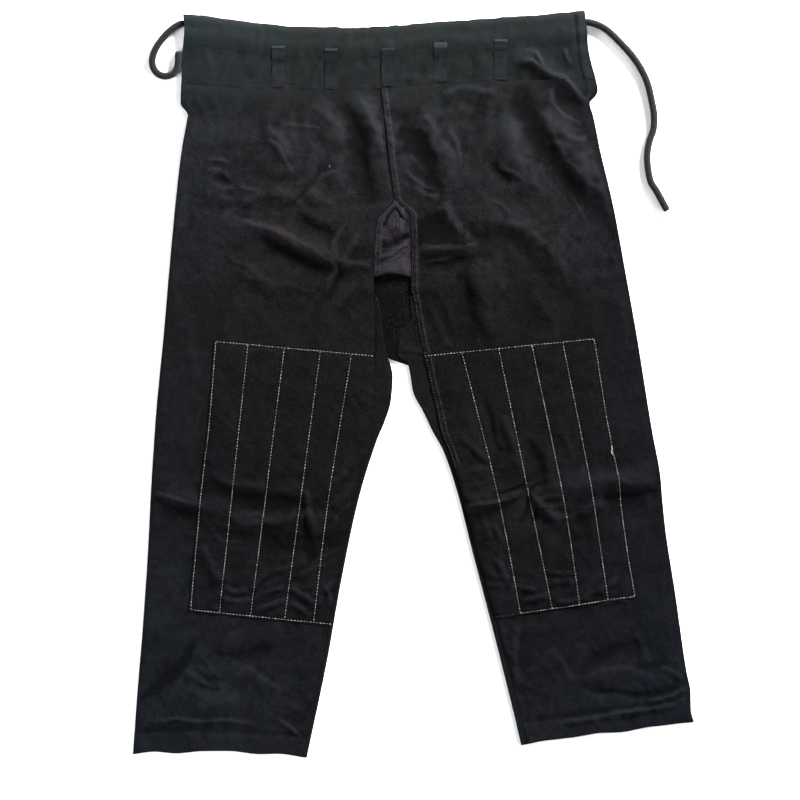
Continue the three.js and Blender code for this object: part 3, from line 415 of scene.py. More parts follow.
# Hollows that the light misses: how much darker they are, softness of their edge, and corners.
HOLLOWS = (
    (0.3, 5, (-88, 338), (-60, 338), (-42, 300), (-36, 258), (-42, 234), (-58, 232), (-82, 252), (-88, 292)),
    (0.5, 3, (-14, 330), (18, 332), (27, 301), (39, 259), (36, 251),
     (20, 248), (15, 268), (-6, 297), (-18, 314)),
    (0.9, 2, (3, 214), (36, 226), (75, 183), (50, 183), (1, 184)),
    (0.3, 4, (-2, 152), (28, 154), (74, 166), (72, 158), (45, 146), (10, 139)),
    (0.26, 4, (-146, 212), (-112, 214), (-100, 187), (-108, 178), (-133, 187), (-150, 204)),
    (0.32, 4, (-182, 176), (-166, 184), (-137, 175), (-108, 162), (-98, 151), (-120, 152), (-155, 162)),
    (0.28, 4, (-88, 174), (-54, 186), (-50, 157), (-58, 144), (-86, 152), (-96, 161)),
    (0.26, 4, (-108, 140), (-98, 144), (-111, 114), (-124, 103), (-132, 106), (-120, 119)),
    (0.16, 4, (0, 132), (70, 150), (84, 106), (94, 58), (30, 62)),
    (0.18, 5, (110, 300), (126, 290), (128, 262), (112, 262), (98, 284)),
    (0.3, 3, (-234, -138), (-197, -148), (-195, -163), (-213, -163), (-232, -157)),
    (0.16, 5, (-195, -177), (-174, -183), (-156, -169), (-150, -194), (-158, -226), (-197, -220)),
    (0.35, 2, (-149, -177), (-144, -175), (-130, -229), (-135, -231)),
    (0.35, 2, (-203, -270), (-170, -263), (-172, -270), (-201, -278)),
    (0.5, 2, (118, -143), (146, -129), (149, -140), (124, -147)),
    (0.45, 2, (61, -151), (104, -144), (122, -143), (104, -151), (63, -158)),
    (0.5, 2, (166, -153), (175, -156), (160, -168), (157, -164)),
    (0.26, 5, (203, -155), (233, -149), (245, -168), (241, -184), (209, -186), (203, -176)),
    (0.35, 2, (177, -252), (209, -248), (207, -256), (181, -258)),
    (0.25, 4, (63, -125), (100, -119), (104, -127), (67, -133)),
)

# The sharp crease on that broad fold, on the band and the left front.
HIP_CREASES = ((3.6, 6, 6, (164, 413), (186, 399), (212, 379), (231, 362)),)

# Other creases of the front waistband.
BAND_CREASES = (
    (2.4, 4, 4, (127, 421), (151, 417), (168, 409)), (2.4, 4, 5, (139, 434), (159, 430), (170, 411)),
    (1.8, 3, 4, (196, 437), (199, 425), (205, 415)), (-1.2, 7, 8, (150, 402), (175, 388), (194, 374)),
    (1, 9, 8, (-20, 400), (14, 396), (40, 404)), (0.7, 10, 8, (-270, 440), (-262, 410), (-268, 390)),
    (-0.7, 10, 9, (-230, 452), (-222, 420), (-216, 392)),
    (0.7, 9, 8, (-150, 430), (-141, 405), (-146, 385)), (-0.7, 9, 9, (-70, 442), (-62, 415), (-66, 388)),
    (-0.8, 9, 9, (70, 440), (78, 415), (74, 392)),
)

# Stitch line of the left side's turned edge.
SIDE_HEM = ((483, 209.3), (456, 211.4), (426, 214.8), (399, 220.4), (376, 226.2), (360, 230.5))

# Zones of small wrinkles: centre, reach along X and Y, direction in degrees, pitch and height.
WRINKLE_ZONES = (
    (-170, 350, 150, 40, 100, 17, 0.9), (90, 350, 150, 40, 75, 18, 0.9), (-120, 230, 150, 90, 155, 26, 0.9),
    (60, 250, 110, 110, 120, 24, 0.9), (200, 260, 70, 160, 118, 26, 1), (-330, 150, 40, 200, 80, 24, 0.5),
    (-230, 40, 120, 120, 60, 34, 0.8), (170, 40, 140, 120, 110, 34, 0.8),
    (-230, -165, 130, 55, 172, 15, 1.6), (200, -155, 150, 55, 8, 15, 1.6), (-110, -150, 40, 70, 60, 15, 1),
    (70, -100, 45, 70, 130, 15, 1), (-180, -270, 90, 30, 20, 11, 2), (190, -262, 110, 30, 168, 11, 2),
    (-260, -385, 110, 50, 150, 24, 1.2), (270, -375, 110, 55, 20, 24, 1.2),
)

# Gusset: distance along the leg, height, and rise of the middle of its width.
GUSSET_PATH = (
    (238.5, 5, 0), (221, 5.1, 0.8), (200, 5.3, 2), (175, 5.7, 3.4), (157, 6, 4.2),
    (144, 6.1, 4.6), (139.9, 5.8, 4.3), (139.2, 5.1, 3.7), (139.9, 4.4, 3.1), (144, 4.1, 2.6),
    (153, 4.1, 1.9), (156.5, 3.8, 1.6), (157.2, 3.2, 1.3), (156.5, 2.6, 1), (153, 2.3, 0.8),
    (121, 2.2, 0.4), (104.5, 2.2, 0), (88, 2.2, 0), (72, 2.2, 0), (55.5, 2.2, 0),
    (48.6, 2.1, 0), (47.7, 1.4, 0), (48.6, 0.7, 0),
    *((y, GROUND_MID, 0) for y in (55.5, 72, 88, 104.5, 121, 158, 200, 221, 238.5)),
)

# The gusset's creases, and the painted shade along them, on its hood.
GUSSET_CREASES = (
    (2.6, 6, 4, (-49, 164), (-28, 170), (-8, 182)), (-4.6, 10, 6, (-50, 176), (-27, 182), (-4, 198)),
    (1.4, 5, 5, (-20, 200), (-12, 216), (-14, 230)), (-1.7, 2.2, 2.2, (-25, 231), (-30, 221), (-38, 208)),
    (-1.7, 2.2, 2.2, (-25, 231), (-17, 221), (-9, 211)),
)
GUSSET_PAINTED_SHADE = (
    (-0.62, 4.5, (-46, 168), (-28, 177), (-9, 192)), (-0.5, 2, (-25, 231), (-38, 208)),
    (-0.5, 2, (-25, 231), (-9, 211)),
)

# Belt loops: name, middle, top, bottom, the depth of the fold at the top, and how strongly that fold is
# raised and painted lighter, as worn cloth with a painted highlight.
BELT_LOOPS = (
    ("far_right", -175, 438.5, 386.5, 2.4, 0.7), ("mid_right", -106.5, 435, 383.5, 2.2, 0.85),
    ("centre", -33, 435.5, 387.5, 1.6, 0.3), ("mid_left", 35, 443, 392, 5.5, 1),
    ("far_left", 113, 447, 395.5, 2.2, 0.85),
)

# Lint: name, side, height over the cloth's middle, width and route.
LINT = (
    ("right_hip", Side.RIGHT, 0.9, 0.3, ((-109.3, 284.6), (-108.5, 282.8), (-109.1, 281.2))),
    ("left_thigh", Side.LEFT, 0.9, 0.45, ((212, 20.2), (213, 19), (212.5, 17.8))),
    ("thread_tail", Side.LEFT, 2, 1, ((256.4, -80), (257.6, -83.5), (256.6, -87), (258.2, -91))),
)

# Routes of the drawstring's free ends, from the waist: X, Y and height.
DRAWSTRING_LEFT_ROUTE = (
    (223, 470.8, 5.1), (230, 469.6, 4.9), (241.5, 465.8, 4.6), (253, 458.5, 4.6),
    (269.5, 442.5, 4.6), (283.5, 427, 4.6), (295, 410, 4.6), (303.5, 391.5, 4.6),
    (309, 369.5, 4.6), (312.4, 348.5, 4.6), (311.5, 331, 4.6), (306.5, 316, 4.6),
    (303.6, 300, 4.6), (304.6, 279, 4.6), (308.5, 262, 4.6), (314.6, 252.5, 4.6),
    (322, 239, 4.6), (329.5, 225.5, 4.6),
)
DRAWSTRING_RIGHT_ROUTE = (
    (-297.8, 468.4, 5.1), (-303, 467.6, 5), (-309, 464.6, 4.7), (-317.5, 458.2, 4.6),
    (-325.5, 449.5, 4.6), (-333, 439, 4.6), (-337.6, 428.5, 4.6), (-339.2, 418.5, 4.6),
    (-337, 409.5, 4.6), (-331, 402.8, 4.6), (-322.4, 400.2, 4.6), (-313.7, 402.6, 4.6),
    (-307.6, 409.2, 4.6), (-305.6, 418.5, 4.6), (-305.6, 432, 4.6),
)

# Noises in layers: height, pitch and seed of each. They sway the lines of the creases, of the painted
# light and shade and of the hollows, across and along, and make the creases uneven and the waist's edge wavy.
CREASE_SWAYS = (((2.6, 24, 15), (0.9, 9, 21)), ((2.6, 22, 16), (0.9, 8, 22)))
CREASE_UNEVENNESS = ((0.45, 19, 19), (0.25, 8, 20))
PAINTED_LIGHT_SWAYS = (((4, 13, 17),), ((4, 11, 18),))
HOLLOW_SWAYS = (((4, 15, 23), (2, 6, 24)), ((4, 14, 25), (2, 6, 26)))
WAIST_WAVES = ((0.7, 13, 92), (0.4, 5, 93))

# Facets and wrinkles of all the cloth: height, direction in degrees, pitch and seed.
FACETS = ((1.0, 120, 34, 101), (0.7, 35, 14, 102), (0.3, 100, 8, 103))
WRINKLES = ((0.3, 125, 11, 14), (0.22, 155, 8, 15), (0.22, 65, 9, 16))

# Whole places after which the noises repeat.
LATTICE = 64

# Calm cloth by the right hip: centre, reach along X and Y, and how calm it is.
CALM_ZONE = (-240, 410, 110, 70, 0.7)


def later() -> Any:
    """A field that is worked out once the object is made."""
    return field(init=False)


def link(name: str, data: bpy.types.ID) -> Object:
    """Puts a new object in the scene.

    Args:
        name: the object's name.
        data: its mesh, lamp or camera.

    Returns:
        The object.
    """
    made = bpy.data.objects.new(name, data)
    bpy.context.scene.collection.objects.link(made)
    return made


# Finishes.


class Shader:
    """A material whose node tree is put together one node at a time."""

    def __init__(self, name: str) -> None:
        """Starts an empty tree.

        Args:
            name: the material's name.
        """
        self.material = bpy.data.materials.new(name)
        self.material.use_nodes = True
        self.tree = self.material.node_tree
        self.tree.nodes.clear()

    def node(self, kind: str, inputs: dict | None = None, **settings: object) -> bpy.types.Node:
        """Adds a node.

        Args:
            kind: the node's type without its "ShaderNode" prefix.
            inputs: for each input, a socket to link or a value to set.
            settings: properties of the node.

        Returns:
            The new node.
        """
        made = self.tree.nodes.new("ShaderNode" + kind)
        for key, value in settings.items():
            setattr(made, key, value)
        for key, value in (inputs or {}).items():
            if isinstance(value, bpy.types.NodeSocket):
                self.tree.links.new(value, made.inputs[key])
            else:
                made.inputs[key].default_value = value
        return made

    def math(self, operation: str, first: object, second: object = 0.0) -> Socket:
        """One step of arithmetic on sockets or numbers."""
        return self.node("Math", {0: first, 1: second}, operation=operation).outputs[0]

    def noise(self, vector: Socket, scale: float, detail: float, roughness: float = 0.5) -> Socket:
        """A noise from 0 to 1 at the place that a vector gives."""
        inputs = {"Vector": vector, "Scale": scale, "Detail": detail, "Roughness": roughness}
        return self.node("TexNoise", inputs).outputs["Fac"]

    def ramp(self, factor: Socket, stops: Shades) -> Socket:
        """A colour ramp over a factor.

        Args:
            factor: the socket that the ramp reads.
            stops: places from 0 to 1, each with its colour.

        Returns:
            The ramp's colour socket.
        """
        made = self.node("ValToRGB", {"Fac": factor})
        while len(made.color_ramp.elements) < len(stops):
            made.color_ramp.elements.new(0.5)
        for element, (place, colour) in zip(made.color_ramp.elements, stops):
            element.position = place
            element.color = (*colour, 1.0)
        return made.outputs["Color"]

    def shade_along(self, place: Socket, shades: Shades) -> Socket:
        """A ramp over places in metres, brought to 0 to 1 from its first place to its last.

        Args:
            place: the socket of the coordinate.
            shades: places in metres, each with its colour.

        Returns:
            The ramp's colour socket.
        """
        low, high = shades[0][0], shades[-1][0]
        share = self.math("DIVIDE", self.math("SUBTRACT", place, low), high - low)
        return self.ramp(share, [((at - low) / (high - low), tint) for at, tint in shades])

    def tinted(self, colour: Socket, tint: Socket) -> Socket:
        """The product of two colours."""
        inputs = {0: 1.0, 6: colour, 7: tint}
        return self.node("Mix", inputs, data_type="RGBA", blend_type="MULTIPLY").outputs[2]

    def bump(self, height: Socket, strength: float, distance: float) -> Socket:
        """The normal that a height raises, at most by a distance in metres."""
        return self.node("Bump", {"Height": height, "Strength": strength, "Distance": distance}).outputs[0]

    def finish(self, inputs: dict) -> Material:
        """The material, whose output is a surface with these inputs."""
        self.node("OutputMaterial", {"Surface": self.node("BsdfPrincipled", inputs).outputs[0]})
        return self.material


@dataclass(frozen=True)
class DrillFinish:
    """Matt cotton drill with a fine twill, cloudy fading, slubs, wear on its raised creases, and painted
    light and shade.
    """

    name: str
    deep: Colour = (0.0014, 0.0014, 0.0014)
    faded: Colour = (0.0089, 0.0088, 0.0090)
    cool: Colour = (0.94, 1.01, 1.05)
    warm: Colour = (1.05, 0.97, 1.03)
    cloud_scale: float = 5.0
    cloud_fading: float = 0.7
    blotch_scale: float = 34.0
    slub_scale: float = 420.0
    slub_stretch: float = 0.3
    grain_scale: float = 150.0
    fleck_scale: float = 640.0
    twill_pitch: float = 0.0012
    twill_turn: float = 27.0
    relief: float = 0.0003
    sheen: float = 0.011
    roughness: float = 0.95
    grain: float = 1.0

    def material(self) -> Material:
        """Builds the shader from the cloth's own UV map in metres and its attribute of wear with painted
        light and shade.

        The colour runs from deep to faded with the sum of the clouds, the wear with its painted light and
        shade, and the slubs, flecks and grain times their strength along the garment. Three tints multiply
        it: painted light along and across the garment, and blotches from cool to warm.

        Returns:
            The material.
        """
        shader = Shader(self.name)
        cloth = shader.node("UVMap", uv_map="cloth").outputs["UV"]
        place = shader.node("TexCoord").outputs["Object"]
        parts = shader.node("SeparateXYZ", {"Vector": place}).outputs
        # This attribute carries wear together with painted light and shade.
        wear = shader.node("Attribute", attribute_name="wear").outputs["Fac"]
        clouds = shader.noise(place, self.cloud_scale, 5.0, 0.6)
        stretched = shader.node("Mapping", {"Vector": cloth, "Scale": (1.0, self.slub_stretch, 1.0)})
        slubs = shader.noise(stretched.outputs[0], self.slub_scale, 3.0, 0.7)
        grain = shader.noise(cloth, self.grain_scale, 4.0, 0.75)
        flecks = shader.noise(cloth, self.fleck_scale, 1.0, 0.6)
        turn = (0, 0, math.radians(self.twill_turn))
        lines = {
            "Vector": shader.node("Mapping", {"Vector": cloth, "Rotation": turn}).outputs[0],
            "Scale": math.pi / (10 * self.twill_pitch), "Distortion": 0.6, "Detail": 1.0,
        }
        twill = shader.node("TexWave", lines).outputs["Fac"]
        fade = shader.math("MULTIPLY", shader.math("SUBTRACT", clouds, 0.5), self.cloud_fading)
        strength = shader.shade_along(parts[1], [(at, (amount,) * 3) for at, amount in GRAINS])
        for noise, amount in ((slubs, 0.8), (flecks, 2.9), (grain, 0.75)):
            offset = shader.math("MULTIPLY", shader.math("SUBTRACT", noise, 0.5), amount * self.grain)
            fade = shader.math("ADD", fade, shader.math("MULTIPLY", offset, strength))
        fade = shader.math("ADD", fade, wear)
        colour = shader.ramp(fade, ((0.0, self.deep), (1.0, self.faded)))
        # The ramps along and across the garment are painted light.
        for axis, shades in ((1, PAINTED_LIGHT_ALONG), (0, PAINTED_LIGHT_ACROSS)):
            colour = shader.tinted(colour, shader.shade_along(parts[axis], shades))
        blotches = shader.noise(place, self.blotch_scale, 2.0)
        colour = shader.tinted(colour, shader.ramp(blotches, ((0.35, self.cool), (0.65, self.warm))))
        height = shader.math("ADD", shader.math("MULTIPLY", twill, 0.5), shader.math("MULTIPLY", slubs, 0.8))
        height = shader.math("ADD", height, shader.math("MULTIPLY", grain, 1.6))
        return shader.finish({
            "Base Color": colour, "Roughness": self.roughness, "Specular IOR Level": 0.02,
            "Sheen Weight": self.sheen, "Sheen Roughness": 0.45,
            "Normal": shader.bump(height, 0.5, self.relief),
        })


@dataclass(frozen=True)
class ThreadFinish:
    """Spun sewing thread with a faint twist."""

    name: str
    dark: Colour
    light: Colour
    fibre_scale: float = 900.0

    def material(self) -> Material:
        """Builds the shader from Object coordinates: a fine noise runs from dark to light.

        Returns:
            The material.
        """
        shader = Shader(self.name)
        fibres = shader.noise(shader.node("TexCoord").outputs["Object"], self.fibre_scale, 2.0)
        colour = shader.ramp(fibres, ((0.3, self.dark), (0.7, self.light)))
        return shader.finish({"Base Color": colour, "Roughness": 0.8, "Specular IOR Level": 0.05})


@dataclass(frozen=True)
class BraidFinish:
    """Soft braided cotton cord, read along and round its own UV map."""

    name: str
    deep: Colour
    raised: Colour
    strands: int = 8
    lay: float = 0.0105
    fibre_scale: float = 380.0
    relief: float = 0.0005

    def material(self) -> Material:
        """Builds the shader: two families of slanted bands cross, and the higher one shows.

        Returns:
            The material.
        """
        shader = Shader(self.name)
        cloth = shader.node("UVMap", uv_map="cloth").outputs["UV"]
        parts = shader.node("SeparateXYZ", {"Vector": cloth}).outputs
        along = shader.math("MULTIPLY", parts[1], 2 * math.pi / self.lay)
        around = shader.math("MULTIPLY", parts[0], math.pi * self.strands)
        one = shader.math("SINE", shader.math("ADD", along, around))
        other = shader.math("SINE", shader.math("SUBTRACT", along, around))
        plait = shader.math("MULTIPLY", shader.math("MAXIMUM", one, other), 0.6)
        height = shader.math("ADD", plait, shader.noise(cloth, self.fibre_scale, 3.0))
        colour = shader.ramp(shader.math("MULTIPLY", height, 0.7), ((0.2, self.deep), (0.95, self.raised)))
        return shader.finish({
            "Base Color": colour, "Roughness": 0.88, "Specular IOR Level": 0.15,
            "Sheen Weight": 0.15, "Sheen Roughness": 0.4,
            "Normal": shader.bump(height, 0.7, self.relief),
        })


@dataclass(frozen=True)
class FloorFinish:
    """Plain pale studio floor."""

    name: str = "pale_floor"
    colour: Colour = (0.96, 0.96, 0.96)

    def material(self) -> Material:
        """Builds the plain shader and returns the material."""
        inputs = {"Base Color": (*self.colour, 1.0), "Roughness": 0.9, "Specular IOR Level": 0.0}
        return Shader(self.name).finish(inputs)


# Curves and relief.


def unit(vectors: Array) -> Array:
    """Vectors brought to length 1."""
    return vectors / np.maximum(np.linalg.norm(vectors, axis=-1, keepdims=True), 1e-9)


def length_along(points: Array) -> Array:
    """Length of a polyline up to each of its points."""
    return np.concatenate([[0.0], np.cumsum(np.linalg.norm(np.diff(points, axis=0), axis=1))])


def read_off(at: Array, places: Array, rows: Array) -> Array:
    """Rows of numbers read off straight lines at places between those given."""
    return np.stack([np.interp(at, places, column) for column in rows.T], axis=1)


def curve_through(knots: Line) -> Curve:
    """A smooth curve through knots that never overshoots them.

    Between two knots it is a cubic Hermite piece. A knot's tangent is the harmonic mean of the
    slopes beside it, or 0 where they differ in sign.

    Args:
        knots: pairs of place and value.

    Returns:
        A function from an array of places to their values.
    """
    s, v = np.array(sorted(knots), float).T
    slope = np.diff(v) / np.diff(s)
    before, after = slope[:-1], slope[1:]
    monotone = before * after > 0
    total = np.where(monotone, before + after, 1.0)
    inner = np.where(monotone, 2 * before * after / total, 0.0)
    tangent = np.concatenate([slope[:1], inner, slope[-1:]])

    def curve(at: Array) -> Array:
        """Values at places, which are held between the first knot and the last.

        Args:
            at: the places.

        Returns:
            The values.
        """
        t = np.clip(at, s[0], s[-1])
        k = np.clip(np.searchsorted(s, t, side="right") - 1, 0, len(s) - 2)
        h = s[k + 1] - s[k]
        f = (t - s[k]) / h
        rise = v[k] * (1 + 2 * f) * (1 - f) ** 2 + v[k + 1] * f * f * (3 - 2 * f)
        return rise + h * (tangent[k] * f * (1 - f) ** 2 - tangent[k + 1] * f * f * (1 - f))

    return curve


def smooth_route(points: Sequence[Sequence[float]], spacing: float) -> Array:
    """Even points on the centripetal Catmull-Rom curve through a few points.

    Knots are spaced by the square root of the chords. Each span is the cubic that blends the four
    points around it, sampled densely and then evened out by its length.

    Args:
        points: the points that the route passes.
        spacing: distance between the points returned, in the route's own unit.

    Returns:
        An array with one row for each point.
    """
    p = np.array(points, float)
    p = np.vstack([2 * p[0] - p[1], p, 2 * p[-1] - p[-2]])
    t = np.concatenate([[0.0], np.cumsum(np.sqrt(np.linalg.norm(np.diff(p, axis=0), axis=1)))])
    spans = []
    for k in range(1, len(p) - 2):
        at = np.linspace(t[k], t[k + 1], 40, endpoint=k == len(p) - 3)[:, None]
        near = [(p[i], p[i + 1], t[i], t[i + 1]) for i in (k - 1, k, k + 1)]
        first, second, third = (between(at, *ends) for ends in near)
        early = between(at, first, second, t[k - 1], t[k + 1])
        late = between(at, second, third, t[k], t[k + 2])
        spans.append(between(at, early, late, t[k], t[k + 1]))
    return even_route(np.vstack(spans), spacing)


def between(at: Array, first: Array, last: Array, start: float, end: float) -> Array:
    """The straight blend from one value at a start to another at an end."""
    return ((end - at) * first + (at - start) * last) / (end - start)


def even_route(route: Array, spacing: float) -> Array:
    """Points along a polyline at nearly this even spacing, its two ends among them."""
    length = length_along(route)
    return read_off(np.linspace(0, length[-1], max(2, int(round(length[-1] / spacing)) + 1)), length, route)


def ease(part: Array) -> Array:
    """The cubic 3p^2 - 2p^3, level at 0 and at 1."""
    return part * part * (3 - 2 * part)


def smooth_step(x: Array, low: float, high: float) -> Array:
    """0 at low and before it, 1 at high and past it, and eased between."""
    return ease(np.clip((x - low) / (high - low), 0, 1))


def bell(distance: Array, width: float) -> Array:
    """A bell that is 1 in its middle: exp(-(d/width)^2)."""
    return np.exp(-((distance / width) ** 2))


def arch(part: Array) -> Array:
    """A parabola from 0 over 1 in the middle back to 0: 4p(1 - p)."""
    return 4 * part * (1 - part)


def smooth_floor(value: Array, floor: float) -> Array:
    """The larger of a value and a floor, rounded where they meet: floor + (u + sqrt(u^2 + 1)) / 2."""
    over = value - floor - 0.3
    return floor + (over + np.sqrt(over * over + 1.0)) / 2


def from_edge(x: Array, y: Array, start: Sequence[float], end: Sequence[float]) -> tuple[Array, Array, Array]:
    """How places lie to the nearest point of a straight edge.

    Args:
        x: places across.
        y: places along.
        start: of the edge.
        end: of the edge.

    Returns:
        The steps across and along from that point, and its share of the edge.
    """
    (ax, ay), (dx, dy) = start, np.subtract(end, start)
    part = np.clip(((x - ax) * dx + (y - ay) * dy) / (dx * dx + dy * dy), 0, 1)
    return x - ax - part * dx, y - ay - part * dy, part


def nearest_on_line(x: Array, y: Array, line: Line) -> tuple[Array, Array]:
    """Signed distance of places to a polyline, and how far along it they lie.

    Args:
        x: places across.
        y: places along.
        line: the polyline's corners.

    Returns:
        The distance, positive on the left of the line's direction, and the share of its spans.
    """
    nearest = np.full(x.shape, np.inf)
    signed, share = np.zeros(x.shape), np.zeros(x.shape)
    spans = len(line) - 1
    for k in range(spans):
        across, along, part = from_edge(x, y, line[k], line[k + 1])
        dx, dy = np.subtract(line[k + 1], line[k])
        distance = np.hypot(across, along)
        closer = distance < nearest
        nearest = np.where(closer, distance, nearest)
        signed = np.where(closer, np.sign(dx * along - dy * across) * distance, signed)
        share = np.where(closer, (k + part) / spans, share)
    return signed, share


def depth_inside(x: Array, y: Array, corners: Line) -> Array:
    """Distance to a polygon's edge, above 0 inside it.

    A place is inside where a ray from it along +X crosses the edge an odd number of times.

    Args:
        x: places across.
        y: places along.
        corners: of the polygon.

    Returns:
        The signed distance.
    """
    nearest = np.full(x.shape, np.inf)
    inside = np.zeros(x.shape, bool)
    for start, end in zip(corners, (*corners[1:], corners[0])):
        across, along, _ = from_edge(x, y, start, end)
        nearest = np.minimum(nearest, np.hypot(across, along))
        dx, dy = np.subtract(end, start)
        crossed = (start[1] > y) != (end[1] > y)
        inside ^= crossed & (x < start[0] + (y - start[1]) * dx / (dy if dy else 1.0))
    return np.where(inside, nearest, -nearest)


def lattice(x: Array, y: Array, seed: int) -> tuple[Array, ...]:
    """Random heights from -1 to 1 at whole places, which repeat every LATTICE of them.

    Args:
        x: places across, one unit to a cell.
        y: places along.
        seed: of the heights.

    Returns:
        The heights at each place's cell corners (here, beside, above, and across from here), and
        how far across and along the cell the place lies.
    """
    table = np.random.default_rng(seed).uniform(-1, 1, (LATTICE, LATTICE))
    i, j = np.floor(x).astype(int), np.floor(y).astype(int)
    steps = ((0, 0), (1, 0), (0, 1), (1, 1))
    return (*[table[(i + right) % LATTICE, (j + up) % LATTICE] for right, up in steps], x - i, y - j)


def soft_noise(x: Array, y: Array, seed: int) -> Array:
    """Lattice noise from -1 to 1, eased from corner to corner.

    Args:
        x: places across, one unit to a cell.
        y: places along.
        seed: of the lattice.

    Returns:
        The heights.
    """
    here, beside, above, across, fx, fy = lattice(x, y, seed)
    fx, fy = ease(fx), ease(fy)
    near = here * (1 - fx) + beside * fx
    far = above * (1 - fx) + across * fx
    return near * (1 - fy) + far * fy


def layered(x: Array, y: Array, layers: Sequence[tuple[float, float, int]]) -> Array:
    """The sum of soft noises, each with its height, pitch and seed."""
    return sum(height * soft_noise(x / pitch, y / pitch, seed) for height, pitch, seed in layers)


def swayed(x: Array, y: Array, sways: Sequence[Sequence[tuple]]) -> tuple[Array, Array]:
    """Places moved across and along, each by its own layered noise."""
    return x + layered(x, y, sways[0]), y + layered(x, y, sways[1])


def turned(x: Array, y: Array, angle: float) -> tuple[Array, Array]:
    """Places along and across a direction in degrees: x cos + y sin, and y cos - x sin."""
    c, s = math.cos(math.radians(angle)), math.sin(math.radians(angle))
    return x * c + y * s, y * c - x * s


def wrinkles(x: Array, y: Array, angle: float, pitch: float, seed: int) -> Array:
    """Small wrinkles along a direction: ridges 1 - 2|noise| of noise drawn out along it.

    Args:
        x: places across.
        y: places along.
        angle: of the wrinkles, in degrees.
        pitch: from one to the next.
        seed: of the noise.

    Returns:
        The heights.
    """
    along, across = turned(x, y, angle)
    bend = soft_noise(x / (4 * pitch), y / (4 * pitch), seed + 1) * pitch
    noise = soft_noise((along + bend) / (3.4 * pitch), (across + bend) / pitch, seed)
    return 1 - 2 * np.sqrt(noise * noise + 0.004)


def facets(x: Array, y: Array, angle: float, pitch: float, seed: int) -> Array:
    """Flat facets from -1 to 1 that meet in sharp creases.

    The place is turned by the angle, bent by soft noise and drawn out along one axis. Random heights
    stand at whole numbers there, and a plane joins the three corners of each half cell.

    Args:
        x: places across.
        y: places along.
        angle: of the facets' long direction, in degrees.
        pitch: their size.
        seed: of the heights.

    Returns:
        The heights.
    """
    bend = 0.7 * soft_noise(x / (1.3 * pitch), y / (1.3 * pitch), seed + 50)
    along, aside = turned(x, y, angle)
    here, beside, above, across, fu, fv = lattice(along / (1.7 * pitch) + bend, aside / pitch - bend, seed)
    lower = here + (beside - here) * fu + (above - here) * fv
    upper = across + (above - across) * (1 - fu) + (beside - across) * (1 - fv)
    return np.where(fu + fv < 1, lower, upper)


def fold_relief(x: Array, y: Array, folds: Sequence[tuple]) -> Array:
    """The broad folds: a bell across each line, lower at its ends as 1 - 0.75 (2s - 1)^4.

    Args:
        x: places across.
        y: places along.
        folds: height, width and line of each.

    Returns:
        The heights.
    """
    total = np.zeros(x.shape)
    for height, width, *line in folds:
        distance, share = nearest_on_line(x, y, line)
        total += height * (1 - 0.75 * (2 * share - 1) ** 4) * bell(distance, width)
    return total


def crease_relief(x: Array, y: Array, creases: Sequence[tuple]) -> Array:
    """The sharper creases: even flanks that meet in a sharp crest along a curved line.

    With u = 1 - |d/width|, and its own width on each side, a crease is (u + sqrt(u^2 + 0.03)) / 2.
    It fades to nothing at the ends of its line as 1 - (2s - 1)^4, and noise bends and varies it.

    Args:
        x: places across.
        y: places along.
        creases: height, width on the left, width on the right and line of each.

    Returns:
        The heights.
    """
    total = np.zeros(x.shape)
    uneven = 1 + layered(x, y, CREASE_UNEVENNESS)
    x, y = swayed(x, y, CREASE_SWAYS)
    for height, left, right, *line in creases:
        route = line if len(line) < 3 else smooth_route(line, 6.0)
        distance, share = nearest_on_line(x, y, route)
        inside = 1 - np.abs(distance / np.where(distance > 0, left, right))
        flanks = (inside + np.sqrt(inside * inside + 0.03)) / 2
        total += height * (1 - (2 * share - 1) ** 4) * flanks
    return total * uneven


def paint_light_and_shade(x: Array, y: Array, marks: Sequence[tuple]) -> Array:
    """How much lighter or darker the painted light and shade make the cloth at each place: amount *
    exp(-(d/reach)^4) about each line.

    Args:
        x: places across.
        y: places along.
        marks: amount, reach and line of each strip of painted light or shade.

    Returns:
        The offsets.
    """
    total = np.zeros(x.shape)
    x, y = swayed(x, y, PAINTED_LIGHT_SWAYS)
    for amount, reach, *line in marks:
        distance, _ = nearest_on_line(x, y, line)
        total += amount * np.exp(-((distance / reach) ** 4))
    return total


def hollowing(x: Array, y: Array) -> Array:
    """How much of the light each hollow misses: amount times a soft step over its edge.

    Args:
        x: places across.
        y: places along.

    Returns:
        The amounts.
    """
    total = np.zeros(x.shape)
    x, y = swayed(x, y, HOLLOW_SWAYS)
    for amount, softness, *corners in HOLLOWS:
        total += amount * smooth_step(depth_inside(x, y, corners), -softness, softness)
    return total


def cloth_relief(x: Array, y: Array) -> Array:
    """The fine relief of all the cloth: soft noise, facets and wrinkles, and zones of small wrinkles.

    A bell over its own reach bounds each zone, and another calms the cloth by the right hip.

    Args:
        x: places across.
        y: places along.

    Returns:
        The heights.
    """
    total = 0.5 * soft_noise(x / 43, y / 38, Seed.DRAPE)
    for form, layers in ((facets, FACETS), (wrinkles, WRINKLES)):
        for height, angle, pitch, seed in layers:
            total = total + height * form(x, y, angle, pitch, seed)
    cx, cy, rx, ry, calm = CALM_ZONE
    total = total * (1 - calm * bell(x - cx, rx) * bell(y - cy, ry))
    for k, (cx, cy, rx, ry, angle, pitch, height) in enumerate(WRINKLE_ZONES):
        reach = height * bell(x - cx, rx) * bell(y - cy, ry)
        total = total + 0.7 * reach * wrinkles(x, y, angle, pitch, Seed.ZONES + 3 * k)
    return total


